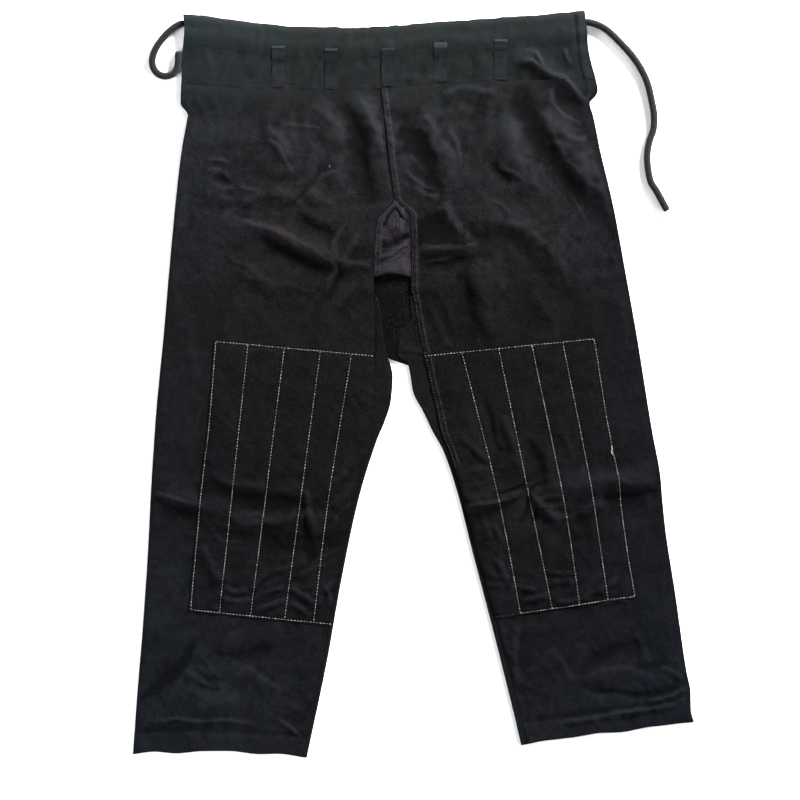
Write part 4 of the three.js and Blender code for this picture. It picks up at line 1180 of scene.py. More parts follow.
def pucker(distance: Array, along: Array, height: float, pitch: float, seed: int) -> Array:
    """Gathers beside a row of stitches: noise along the seam that dies out within a few pitches."""
    noise = soft_noise(along / pitch, distance / (2.5 * pitch), seed)
    return height * noise * np.exp(-np.abs(distance) / (1.1 * pitch))


def strip(distance: Array, width: float, height: float) -> Array:
    """The raised strip of a felled seam or hem, from distance 0 to its width."""
    return height * smooth_step(distance, -0.4, 1.2) * (1 - smooth_step(distance, width - 1.2, width + 1.2))


def crossing(gaps: Array) -> Array:
    """The fractional column where each row of rising numbers passes 0.

    Args:
        gaps: one row for each row of a grid.

    Returns:
        The columns, held within the grid.
    """
    rows = np.arange(len(gaps))
    after = np.clip((gaps <= 0).sum(axis=1), 1, gaps.shape[1] - 1)
    low, high = gaps[rows, after - 1], gaps[rows, after]
    return after - 1 + np.clip(-low / (high - low), 0, 1)


# Meshes.


def grid_faces(rows: int, columns: int, closed: bool = False) -> Array:
    """Corner numbers of a grid's quads.

    Args:
        rows: of the grid's points.
        columns: of its points.
        closed: whether the last column meets the first.

    Returns:
        One row of four numbers for each quad.
    """
    i, j = np.meshgrid(np.arange(rows - 1), np.arange(columns - (not closed)), indexing="ij")
    beside = (j + 1) % columns
    corners = [i * columns + j, i * columns + beside, (i + 1) * columns + beside, (i + 1) * columns + j]
    return np.stack(corners, axis=-1).reshape(-1, 4)


def make_object(name: str, points: Array, faces: Sequence, material: Material) -> Object:
    """Puts points in millimetres and their faces into a smooth mesh object in metres.

    Args:
        name: the object's name.
        points: one row for each vertex.
        faces: vertex numbers of each face.
        material: the finish.

    Returns:
        The new object, at the origin and riding on the part.
    """
    mesh = bpy.data.meshes.new(name)
    mesh.from_pydata(points.reshape(-1, 3) * MM, [], faces)
    mesh.materials.append(material)
    mesh.polygons.foreach_set("use_smooth", np.ones(len(mesh.polygons), bool))
    made = link(name, mesh)
    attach(made, "root")
    return made


def set_uv(made: Object, flat: Array) -> None:
    """Stores the cloth's flat coordinates as a UV map in metres.

    Args:
        made: the object.
        flat: millimetres across and down for each vertex.
    """
    corners = np.zeros(len(made.data.loops), np.int32)
    made.data.loops.foreach_get("vertex_index", corners)
    layer = made.data.uv_layers.new(name="cloth")
    layer.data.foreach_set("uv", (flat.reshape(-1, 2)[corners] * MM).astype(np.float32).ravel())


@dataclass
class Cloth:
    """A cloth surface on a grid, in millimetres, with its flat coordinates."""

    points: Array
    flat: Array

    @classmethod
    def over(cls, x: Array, y: Array, z: Array, across: Array, down: Array) -> "Cloth":
        """The cloth with these coordinates and flat coordinates, each a grid or a line of one."""
        points = np.stack(np.broadcast_arrays(x, y, z), axis=-1)
        return cls(points, np.stack(np.broadcast_arrays(across, down), axis=-1))

    def normals(self) -> Array:
        """Unit normals: the cross product of the steps across and down, turned to point up."""
        normal = unit(np.cross(np.gradient(self.points, axis=1), -np.gradient(self.points, axis=0)))
        return np.where(normal[..., 2:] < 0, -normal, normal)

    def moved_out(self, distance: float | Array) -> "Cloth":
        """The same cloth moved along its normals, by one distance or by one for each point."""
        return Cloth(self.points + self.normals() * np.asarray(distance)[..., None], self.flat)

    def at(self, rows: Array, columns: Array) -> tuple[Array, Array]:
        """Points and upward normals at fractional grid places, blended from the four corners.

        Args:
            rows: places down the grid.
            columns: places across the grid.

        Returns:
            The points and the unit normals.
        """
        last_row, last_column = self.points.shape[0] - 1, self.points.shape[1] - 1
        r, c = np.clip(rows, 0, last_row), np.clip(columns, 0, last_column)
        i, j = np.minimum(r.astype(int), last_row - 1), np.minimum(c.astype(int), last_column - 1)
        fr, fc = (r - i)[:, None], (c - j)[:, None]
        both = np.concatenate([self.points, self.normals()], axis=-1)
        upper = both[i, j] * (1 - fc) + both[i, j + 1] * fc
        lower = both[i + 1, j] * (1 - fc) + both[i + 1, j + 1] * fc
        found = upper * (1 - fr) + lower * fr
        return found[:, :3], unit(found[:, 3:])

    def height_at(self, x: Array, y: Array) -> Array:
        """Heights at places on the plan, from the cloth's nearest points.

        Args:
            x: places across.
            y: places along.

        Returns:
            The heights.
        """
        grid = self.points.reshape(-1, 3)
        away = np.hypot(grid[:, :1] - x.ravel(), grid[:, 1:2] - y.ravel())
        return grid[np.argmin(away, axis=0), 2].reshape(x.shape)

    def wear(self) -> Array:
        """How worn each point is: the height of the middle over the mean of its surroundings.

        Ridges come out above 0, painted lighter as worn crests that catch the light, and hollows below,
        painted darker as shade, from the height less its running mean, first over a few grid steps each
        way and then over a dozen.

        Returns:
            One amount for each point.
        """
        height = self.points[..., 2]
        mean = height.copy()
        worn_and_shaded = np.zeros_like(height)
        # Ridges are part wear and part painted highlight; hollows are painted shade.
        for steps, share in ((6, 0.36), (90, 0.15)):
            for _ in range(steps):
                padded = np.pad(mean, 1, mode="edge")
                sides = padded[:-2, 1:-1] + padded[2:, 1:-1] + padded[1:-1, :-2] + padded[1:-1, 2:]
                mean = (mean + sides) / 5
            worn_and_shaded += share * (height - mean)
        return np.clip(worn_and_shaded, -0.32, 0.42)

    def sew(self, node: str, slot: Slot, thickness: float, material: Material, base: float | Array) -> Object:
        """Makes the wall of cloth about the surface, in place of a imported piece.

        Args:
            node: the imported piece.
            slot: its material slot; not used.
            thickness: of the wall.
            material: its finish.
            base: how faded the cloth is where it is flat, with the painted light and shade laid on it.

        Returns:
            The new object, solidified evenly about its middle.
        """
        made = make_object(f"cloth_{node}", self.points, grid_faces(*self.points.shape[:2]), material)
        set_uv(made, self.flat)
        # This attribute holds wear together with painted highlights and painted shade.
        worn_and_shaded = made.data.attributes.new("wear", "FLOAT", "POINT")
        worn_and_shaded.data.foreach_set("value", (self.wear() + base).astype(np.float32).ravel())
        wall = made.modifiers.new("wall", "SOLIDIFY")
        wall.thickness = thickness * MM
        wall.offset = 0.0
        edges = made.modifiers.new("edges", "EDGE_SPLIT")
        edges.split_angle = math.radians(55)
        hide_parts(node)
        return made


@dataclass
class Seamstress:
    """Collects rows of stitches and makes each collection one mesh."""

    name: str
    material: Material
    length: float = 2.3
    width: float = 0.75
    height: float = 0.5
    places: list[Array] = field(default_factory=list)
    tangents: list[Array] = field(default_factory=list)
    ups: list[Array] = field(default_factory=list)

    def row(
        self, cloth: Cloth, rows: float | Array, columns: float | Array, wall: float,
        pitch: float = STITCH_PITCH,
    ) -> None:
        """Adds a row of stitches along a line on cloth.

        Args:
            cloth: the cloth.
            rows: places of the line down its grid, or the one that it keeps to.
            columns: places of the line across its grid, or the one that it keeps to.
            wall: thickness of the cloth, on whose face the stitches lie.
            pitch: from one stitch to the next.
        """
        points, normals = cloth.at(*np.broadcast_arrays(rows, columns))
        length = length_along(points)
        at = np.arange(pitch / 2, length[-1], pitch)
        up = unit(read_off(at, length, normals))
        self.places.append(read_off(at, length, points) + up * wall / 2)
        self.tangents.append(unit(read_off(at + 0.5, length, points) - read_off(at - 0.5, length, points)))
        self.ups.append(up)

    def build(self) -> Object:
        """Makes every stitch a small spindle whose ends dip into the cloth.

        A spindle has four rings of four points. A ring's size follows 0.35, 1, 1, 0.35 along the
        stitch, and its middle rises as those sizes do.

        Returns:
            The joined mesh.
        """
        place, tangent, up = (
            np.concatenate(part)[:, None, None, :] for part in (self.places, self.tangents, self.ups)
        )
        vary = np.random.default_rng(Seed.STITCHES).uniform(0.6, 1.15, len(place))[:, None, None, None]
        side = np.cross(tangent, up)
        along = np.array([-0.5, -0.22, 0.22, 0.5])[:, None]
        size = np.array([0.35, 1.0, 1.0, 0.35])[:, None]
        angle = np.arange(4) * math.pi / 2
        reach = (along * self.length * np.ones(4))[None, :, :, None]
        wide = (size * self.width / 2 * np.cos(angle))[None, :, :, None]
        high = ((size * np.sin(angle) + size - 0.6) * self.height / 2)[None, :, :, None]
        points = place + (tangent * reach + side * wide + up * high) * vary
        caps = np.array([[3, 2, 1, 0], [12, 13, 14, 15]])
        one = np.vstack([grid_faces(4, 4, closed=True), caps])[:, ::-1]
        faces = (one[None] + 16 * np.arange(len(place))[:, None, None]).reshape(-1, 4)
        return make_object(self.name, points, faces, self.material)


def tube(route: Array, width: float, height: float, sides: int) -> tuple[Array, Array, list]:
    """A closed tube along a route that lies nearly level.

    A ring's point is the route's point + side * (width/2) cos a + up * (height/2) sin a. Two small
    rings round off each end.

    Args:
        route: evenly spaced points.
        width: of the tube.
        height: of the tube.
        sides: points in a ring.

    Returns:
        The points, their flat coordinates (turn, length), and the faces.
    """
    tangent = unit(np.gradient(route, axis=0))
    level = unit(np.cross(tangent, [0.0, 0.0, 1.0]))
    up = np.cross(level, tangent)
    rows = len(route)
    size = np.ones(rows)
    size[[0, -1]], size[[1, -2]] = 0.72, 0.94
    turn = np.linspace(0, 2 * math.pi, sides, endpoint=False)
    ring = level[:, None] * (np.cos(turn)[None, :, None] * width / 2)
    ring = ring + up[:, None] * (np.sin(turn)[None, :, None] * height / 2)
    points = route[:, None] + ring * size[:, None, None]
    flat = np.stack(np.meshgrid(turn / (2 * math.pi) / MM, length_along(route)), axis=-1)
    faces = grid_faces(rows, sides, closed=True).tolist()
    faces.append(list(range(sides))[::-1])
    faces.append(list(range((rows - 1) * sides, rows * sides)))
    return points, flat, faces


def held(finish: DrillFinish | ThreadFinish | BraidFinish) -> Any:
    """A field of the wardrobe that holds a finish's material."""
    return field(default_factory=finish.material)


@dataclass
class Wardrobe:
    """Every finish of the garment, made once, and the seamstresses that sew it."""

    drill: Material = held(DrillFinish("black_drill"))
    patch: Material = held(DrillFinish("patch_drill", faded=(0.0084, 0.0079, 0.0084)))
    # The gusset's drill is painted lighter than the rest, against the shade that falls on it under the hood
    # and between the legs.
    gusset: Material = held(DrillFinish("gusset_drill", faded=(0.0170, 0.0160, 0.0178)))
    band: Material = held(DrillFinish("band_drill", faded=(0.0083, 0.0084, 0.0085)))
    loop: Material = held(DrillFinish("loop_drill", faded=(0.0192, 0.0200, 0.0208), grain=0.3))
    cord: Material = held(BraidFinish("cord_braid", (0.0016, 0.0016, 0.0016), (0.006, 0.006, 0.0064)))
    white: Material = held(ThreadFinish("white_thread", (0.08, 0.078, 0.073), (0.36, 0.35, 0.333)))
    grey: Material = held(ThreadFinish("grey_thread", (0.005, 0.005, 0.0052), (0.032, 0.032, 0.034)))
    black: Material = held(ThreadFinish("black_thread", (0.001, 0.001, 0.001), (0.005, 0.005, 0.0055)))
    seams: Seamstress = later()
    felling: Seamstress = later()
    knees: Seamstress = later()

    def __post_init__(self) -> None:
        """Gives each seamstress a thread."""
        self.seams = Seamstress("seam_stitching", self.black)
        self.felling = Seamstress("felled_stitching", self.grey, length=2.4, width=1.2)
        self.knees = Seamstress("knee_stitching", self.white, length=2.4, width=0.7)


# Legs.


def bent_strip(distance: Array, angle: Array, bend: float) -> tuple[Array, Array]:
    """How far a strip reaches and rises that bends up through an angle and then runs straight.

    With the radius bend/angle and the turn t reached so far, the reach is radius sin t + rest cos t
    and the rise is radius (1 - cos t) + rest sin t.

    Args:
        distance: along the strip.
        angle: of the whole bend.
        bend: length of the bend.

    Returns:
        The reach and the rise.
    """
    angle = np.maximum(angle, 0.01)
    radius = bend / angle
    turn = np.minimum(distance, bend) / radius
    rest = np.maximum(distance - bend, 0)
    reach = radius * np.sin(turn) + rest * np.cos(turn)
    return reach, radius * (1 - np.cos(turn)) + rest * np.sin(turn)


def furthest_reach(length: Array, angle: Array, bend: float) -> Array:
    """The furthest that strips of these lengths reach, with half the wall where they have turned."""
    reach, _ = bent_strip(length * np.linspace(0, 1, 25), angle, bend)
    return reach.max(axis=1, keepdims=True) + WALL / 2 * np.sin(np.minimum(angle, math.pi / 2))


@dataclass
class Leg:
    """The plan of one leg: fine lines across it between its two edges.

    Each line has a place, its heights on the two edges, its bow, how far the outseam is closed,
    where the knee patch starts, and its start, width and direction on the plan. The inner seam and
    the fold of the leg's tube stand apart by the roll, and down is the length along the leg.
    """

    side: Side
    pitch: float = PANEL_PITCH
    hem_wave: float = 3.0
    hem_reach: float = 40.0
    place: Array = later()
    outer: Array = later()
    inner: Array = later()
    bow: Array = later()
    closed: Array = later()
    patch_part: Array = later()
    start: Array = later()
    width: Array = later()
    direction: Array = later()
    roll: Array = later()
    down: Array = later()
    outer_x: Curve = later()
    seam_x: Curve = later()
    fold_x: Curve = later()

    def __post_init__(self) -> None:
        """Blends the named lines evenly into fine ones and works out their ends."""
        table = np.array(CROSS_LINES[self.side], float)
        places = [0.0]
        for upper, lower in zip(table[:-1], table[1:]):
            count = max(2, int(round((upper[0] - lower[0]) / self.pitch)))
            places.extend(np.linspace(upper[5], lower[5], count + 1)[1:])
        self.place = np.array(places)
        columns = read_off(self.place, table[:, 5], table[:, :5]).T[..., None]
        self.outer, self.inner, self.bow, self.closed, self.patch_part = columns
        self.outer[0] -= SEAM_GAP / 2
        self.inner[0] -= SEAM_GAP / 2
        edge = INNER_EDGE[self.side]
        self.outer_x = curve_through(OUTER_EDGE[self.side])
        self.seam_x = curve_through([(y, seam) for y, seam, *_ in edge])
        self.fold_x = curve_through([(y, fold) for y, *_, fold in edge])
        self.start = np.concatenate([self.outer_x(self.outer), self.outer], axis=1)
        end = np.concatenate([self.seam_x(self.inner), self.inner], axis=1)
        self.width = np.linalg.norm(end - self.start, axis=1, keepdims=True)
        self.direction = (end - self.start) / self.width
        self.roll = np.abs(self.fold_x(self.inner) - self.seam_x(self.inner))
        self.down = length_along(self.start + self.direction * self.width / 2)[:, None]

    def plan(self, distance: Array) -> tuple[Array, Array]:
        """Places at distances across: a straight line with a parabola's bow, and noise at the hem.

        Args:
            distance: from the outer edge, one row for each line.

        Returns:
            X and Y.
        """
        x = self.start[:, :1] + self.direction[:, :1] * distance
        y = self.start[:, 1:] + self.direction[:, 1:] * distance + self.bow * arch(distance / self.width)
        at_hem = smooth_step(self.down, self.down[-1, 0] - self.hem_reach, self.down[-1, 0])
        return x, y + self.hem_wave * soft_noise(x / 34, 0 * x, Seed.HEM_EDGE) * at_hem

    def row_at(self, place: float) -> int:
        """The fine line that stands nearest to a named line's place."""
        return int(np.argmin(np.abs(self.place - place)))

    def outseam_turn(self, columns: int) -> tuple[Array, ...]:
        """The quarter circle by which a panel turns up or down at the outseam.

        Args:
            columns: of the panel's grid on the turn.

        Returns:
            How far the turn reaches out, the lengths of cloth from its start to its columns, and
            how far each of them reaches and rises.
        """
        angle = self.closed * math.pi / 2
        reach = furthest_reach(np.full_like(angle, OUTER_BEND), angle, OUTER_BEND)
        turning = (OUTER_BEND - SEAM_GAP / 2 * self.closed) * (1 - np.arange(columns) / columns)
        return (reach, turning, *bent_strip(turning, angle, OUTER_BEND))


@dataclass
class FrontPanel:
    """A front: turned down at the outseam, crowned, folded, hemmed and felled at its seams."""

    leg: Leg
    beside_columns: int = 26
    covered_columns: int = 84
    turn_columns: int = 4
    hem_depth: float = 25.0
    vent_hem: float = 13.0
    felled_width: float = 9.5
    outseam_inset: float = 5.5
    band_reach: float = 34.0
    crown_reach: float = 80.0
    calm_outer: float = 22.0
    calm_inner: float = 16.0
    calm_fine: float = 9.0
    cloth: Cloth = later()
    worn_and_shaded: Array = later()

    def heights(self, distance: Array, x: Array, y: Array) -> Array:
        """Height of the cloth's middle.

        It is the base from edge to edge, eased down under the waistband, a crown that follows the
        root of a parabola, folds and creases that grow calm towards the edges, and the seams.

        Args:
            distance: across from the outer edge.
            x: places across.
            y: places along.

        Returns:
            The heights.
        """
        leg = self.leg
        part = distance / leg.width
        outer = LOWEST_UPPER_LAYER + (FOLDED_HEIGHT - LOWEST_UPPER_LAYER) * leg.closed + arch(leg.closed)
        inner = FOLDED_HEIGHT + curve_through(INNER_LIFT)(leg.inner)
        base = outer + (inner - outer) * smooth_step(part, 0, 1)
        under_band = BAND_LOW_HEIGHT + (BAND_WALL - WALL) / 2 - 0.2
        base = base + (under_band - base) * (1 - smooth_step(leg.down, 0, self.band_reach))
        from_ends = np.minimum(leg.down, leg.down[-1] - leg.down)
        crown = LEG_CROWN + LOFT * smooth_step(from_ends, 0, self.crown_reach)
        crown = crown * np.sqrt(np.clip(arch(part), 0, None))
        from_outer = np.clip(distance - FOLD_RADIUS - WALL / 2, 0, None)
        from_inner = np.clip(leg.width - distance, 0, None)
        calm = np.minimum(from_outer / self.calm_outer, from_inner / self.calm_inner) ** 0.7
        fine_calm = np.minimum(from_outer + 1, from_inner + 3) / self.calm_fine
        fine_calm = np.minimum(1, fine_calm) * (0.3 + 0.7 * smooth_step(leg.down, 0, 26))
        relief = fold_relief(x, y, FOLDS) * np.minimum(1, calm) + fold_relief(x, y, HIP_FOLDS)
        relief += (crease_relief(x, y, CREASES) + cloth_relief(x, y)) * fine_calm
        relief += crease_relief(x, y, HIP_CREASES)
        seams = self.seams(distance, leg.width - distance, y)
        return smooth_floor(base + crown + relief, LOWEST_UPPER_LAYER) + np.maximum(seams, -DEEPEST_CUT)

    def seams(self, from_outer: Array, from_inner: Array, y: Array) -> Array:
        """Relief of the hem, the felled inner seam, the outseam and the vent's turned edge.

        Each is a raised strip with gathers beside its stitches, and the inner seam ends in a groove.

        Args:
            from_outer: distance from the outer edge.
            from_inner: distance from the inner seam.
            y: places along.

        Returns:
            The heights.
        """
        leg = self.leg
        to_hem = leg.down[-1] - leg.down
        hem = strip(to_hem, self.hem_depth, 0.55) - 0.7 * bell(to_hem - self.hem_depth - 4, 4)
        hem = hem + pucker(to_hem - self.hem_depth, from_outer, 0.7, 9, Seed.HEM)
        over = smooth_step(y, -190, -90) if leg.side is Side.LEFT else 0.0
        raised = strip(from_inner, self.felled_width, 0.8) + pucker(from_inner - 5, y, 1.0, 3.6, Seed.FELLED)
        groove = (0.15 + 0.45 * smooth_step(y, -120, 40)) * bell(from_inner, 2)
        inner = over * raised + pucker(from_inner - 8, y, 0.4, 8, Seed.INSEAM) - groove
        outseam = pucker(from_outer - 5, y, 0.4, 9, Seed.OUTSEAM) * leg.closed
        vent = strip(from_outer, self.vent_hem, 0.5) + pucker(from_outer - 12, y, 0.5, 9, Seed.VENT)
        return hem + inner + outseam + (1 - leg.closed) * vent

    def build(self) -> None:
        """Works out the grid: the quarter turn at the outseam, then even steps to the seam."""
        leg = self.leg
        reach, turning, turn_reach, turn_rise = leg.outseam_turn(self.turn_columns)
        edge = leg.patch_part * leg.width
        beside = reach + (edge - reach) * np.linspace(0, 1, self.beside_columns, endpoint=False)
        covered = edge + (leg.width - SEAM_GAP / 2 - edge) * np.linspace(0, 1, self.covered_columns)
        distance = np.concatenate([reach - turn_reach, beside, covered], axis=1)
        x, y = leg.plan(distance)
        z = self.heights(distance, x, y)
        z[:, : self.turn_columns] = z[:, self.turn_columns : self.turn_columns + 1] - turn_rise
        across = np.concatenate([reach - turning, beside, covered], axis=1)
        self.cloth = Cloth.over(x, y, z, across, leg.down)
        # Painted highlights and painted shade along the creases, and painted shade in the hollows.
        self.worn_and_shaded = FADED + paint_light_and_shade(x, y, PAINTED_LIGHT_AND_SHADE) - hollowing(x, y)
        if leg.side is Side.LEFT:
            self.worn_and_shaded = self.worn_and_shaded + strip(leg.width - distance, self.felled_width, 0.16)

    def column_at(self, distance: Array) -> Array:
        """The fractional column at distances across from the outer edge.

        Args:
            distance: one for each row.

        Returns:
            One column for each row.
        """
        first, edge, last = (
            self.cloth.flat[:, column, 0]
            for column in (self.turn_columns, self.turn_columns + self.beside_columns, -1)
        )
        beside = (distance - first) / (edge - first) * self.beside_columns
        covered = self.beside_columns + (distance - edge) / (last - edge) * (self.covered_columns - 1)
        return self.turn_columns + np.where(distance < edge, beside, covered)

    def dress(self, wardrobe: Wardrobe) -> None:
        """Makes the panel and its stitches at the inner seam, the outseam, the vent and the hem.

        Args:
            wardrobe: the finishes and threads.
        """
        leg, side = self.leg, self.leg.side.value
        made = self.cloth.sew(f"front_{side}", Slot.DRILL, WALL, wardrobe.drill, self.worn_and_shaded)
        rows = np.arange(len(leg.width), dtype=float)
        width, closed = leg.width[:, 0], leg.closed[:, 0]
        upper = leg.inner[:, 0] > FELLED_END
        for inset in FELLED_INSETS if leg.side is Side.LEFT else ():
            columns = self.column_at(width - inset)[upper]
            wardrobe.felling.row(self.cloth, rows[upper], columns, WALL, FELLED_PITCH)
        for shown, inset in ((closed > 0.5, self.outseam_inset), (closed < 0.5, self.vent_hem - 1)):
            columns = self.column_at(np.full_like(width, inset))
            wardrobe.seams.row(self.cloth, rows[shown], columns[shown], WALL)
        hem_row = np.interp(leg.down[-1, 0] - self.hem_depth + 1.5, leg.down[:, 0], rows)
        columns = np.linspace(self.turn_columns, self.cloth.points.shape[1] - 1, 120)
        wardrobe.seams.row(self.cloth, hem_row, columns, WALL)


@dataclass
class BackPanel:
    """A back: flat on the ground, turned up at the outseam and rolled over the inner fold."""

    leg: Leg
    turn_columns: int = 4
    ground_columns: int = 30
    roll_columns: int = 10
    flap_columns: int = 8
    shortest_flap: float = 1.0
    cloth: Cloth = later()
    worn_and_shaded: Array = later()

    def build(self) -> None:
        """Works out the grid: the outer quarter turn, the ground, the half turn and the flap.

        Fine relief shows on the flap alone. The back is darker where the light misses it between
        the legs.
        """
        leg = self.leg
        reach, turning, turn_reach, turn_rise = leg.outseam_turn(self.turn_columns)
        angle = math.pi * smooth_step(leg.roll, 0.5, 5.4)
        flap = np.maximum(self.shortest_flap, leg.roll - FOLD_RADIUS - (WALL + SEAM_GAP) / 2)
        furthest = furthest_reach(INNER_BEND + flap, angle, INNER_BEND)
        ground_end = leg.width + leg.roll - SEAM_GAP / 2 - furthest
        ground = reach + (ground_end - reach) * np.linspace(0, 1, self.ground_columns)
        bend = INNER_BEND * np.arange(1, self.roll_columns + 1) / self.roll_columns
        beyond = INNER_BEND + flap * np.arange(1, self.flap_columns + 1) / self.flap_columns
        rolled = np.concatenate([bend + 0 * flap, beyond], axis=1)
        roll_reach, roll_rise = bent_strip(rolled, angle, INNER_BEND)
        x, y = leg.plan(np.concatenate([reach - turn_reach, ground, ground_end + roll_reach], axis=1))
        rise = np.concatenate([turn_rise, 0 * ground, roll_rise], axis=1)
        across = np.concatenate([reach - turning, ground, ground_end + rolled], axis=1)
        over = smooth_step(across - ground_end, INNER_BEND, INNER_BEND + 4)
        to_seam = ground_end + INNER_BEND + flap - across
        fine = 0.5 * cloth_relief(x * 1.3 + 40, y) + pucker(to_seam, y, 0.5, 8, Seed.FLAP)
        shown = np.where(leg.roll > 8, 1.0, 0.3) * over * smooth_step(to_seam, 0, 4)
        rise = rise + np.clip(fine * shown, -0.5, 1.2)
        self.cloth = Cloth.over(x, y, GROUND_MID + rise, across, leg.down)
        depth, low, high = (0.34, 10, 76) if leg.side is Side.RIGHT else (0.1, 48, 80)
        self.worn_and_shaded = FADED - depth * smooth_step(y, low, high) * (1 - smooth_step(y, 150, 180))
        if leg.side is Side.LEFT:
            # Painted highlight and painted shade on the rolled flap.
            self.worn_and_shaded = self.worn_and_shaded + paint_light_and_shade(x, y, ROLLED_PAINTED_LIGHT_AND_SHADE)

    def dress(self, wardrobe: Wardrobe) -> None:
        """Makes the panel."""
        made = self.cloth.sew(f"back_{self.leg.side.value}", Slot.DRILL, WALL, wardrobe.drill, self.worn_and_shaded)


@dataclass
class KneePatch:
    """A knee patch sewn on the front with rows of white stitches, puffed a little between them."""

    front: FrontPanel
    edge_inset: float = 2.2
    puff: float = 0.6
    puff_reach: float = 3.2
    wall: float = 0.7
    clearance: float = 0.08
    cloth: Cloth = later()
    worn_and_shaded: Array = later()
    from_rows: list[Array] = later()

    def build(self) -> None:
        """Moves the front's own points out and adds the puff between the rows of stitches.

        The puff is 1 - exp(-(d/reach)^2) of the distance to the nearest row, with gathers.
        """
        leg, front = self.front.leg, self.front
        table = CROSS_LINES[leg.side]
        rows = slice(leg.row_at(table[4][5]), leg.row_at(table[5][5]) + 1)
        first = front.turn_columns + front.beside_columns
        under = Cloth(front.cloth.points[rows, first:], front.cloth.flat[rows, first:])
        raised = under.moved_out((WALL + self.wall) / 2 + self.clearance)
        x, y = raised.points[..., 0], raised.points[..., 1]
        width = under.flat[:, -1:, 0] - under.flat[:, :1, 0]
        down = under.flat[..., 1] - under.flat[:1, :, 1]
        outwards = 1.0 if leg.side is Side.RIGHT else -1.0
        self.from_rows = [np.linspace(0, 1, x.shape[1])[None] * width - self.edge_inset]
        for row in PATCH_ROWS[leg.side]:
            place = curve_through([(height, across) for across, height in row])(y)
            self.from_rows.append((x - place) * outwards)
        ends = [down - self.edge_inset, down[-1:] - down - self.edge_inset]
        nearest = np.min(np.abs(self.from_rows + ends), axis=0)
        lift = self.puff * (1 - bell(nearest, self.puff_reach))
        lift = lift + pucker(nearest, down, 0.35, 7, Seed.QUILTING) * smooth_step(nearest, 0.5, 4)
        self.cloth = raised.moved_out(np.maximum(lift, 0))
        # Painted highlights and painted shade along the creases, and painted shade in the hollows.
        self.worn_and_shaded = PATCH_FADED + paint_light_and_shade(x, y, PAINTED_LIGHT_AND_SHADE) - hollowing(x, y)

    def dress(self, wardrobe: Wardrobe) -> None:
        """Makes the patch, its quilting, its top and bottom rows, and the felled seam over the left one.

        The left patch's bottom row is a worn dark one past the innermost row of quilting.

        Args:
            wardrobe: the finishes and threads.
        """
        cloth, wall, side = self.cloth, self.wall, self.front.leg.side.value
        made = cloth.sew(f"knee_patch_{side}", Slot.PATCH, wall, wardrobe.patch, self.worn_and_shaded)
        left = self.front.leg.side is Side.LEFT
        last_row, last_column = (count - 1 for count in cloth.points.shape[:2])
        down = np.arange(last_row + 1.0)
        top = self.edge_inset / (cloth.flat[-1, 0, 1] - cloth.flat[0, 0, 1]) * last_row
        body = (down > top) & (down < last_row - top)
        for away in self.from_rows:
            column = crossing(away)
            wardrobe.knees.row(cloth, down[body], column[body], wall, QUILT_PITCH)
        start = self.edge_inset / (self.from_rows[0][0, -1] + self.edge_inset) * last_column
        for row in (top, last_row - top):
            end = column[-1] if left and row > top else last_column
            if end < last_column:
                beyond = np.linspace(end, last_column, last_column + 1)
                wardrobe.felling.row(cloth, row, beyond, wall, QUILT_PITCH)
            wardrobe.knees.row(cloth, row, np.linspace(start, end, last_column + 1), wall, QUILT_PITCH)
        seam = body & (cloth.points[:, -1, 1] > FELLED_END)
        width = cloth.flat[seam, -1, 0] - cloth.flat[seam, 0, 0]
        for inset in FELLED_INSETS if left else ():
            wardrobe.felling.row(cloth, down[seam], (1 - inset / width) * last_column, wall, FELLED_PITCH)


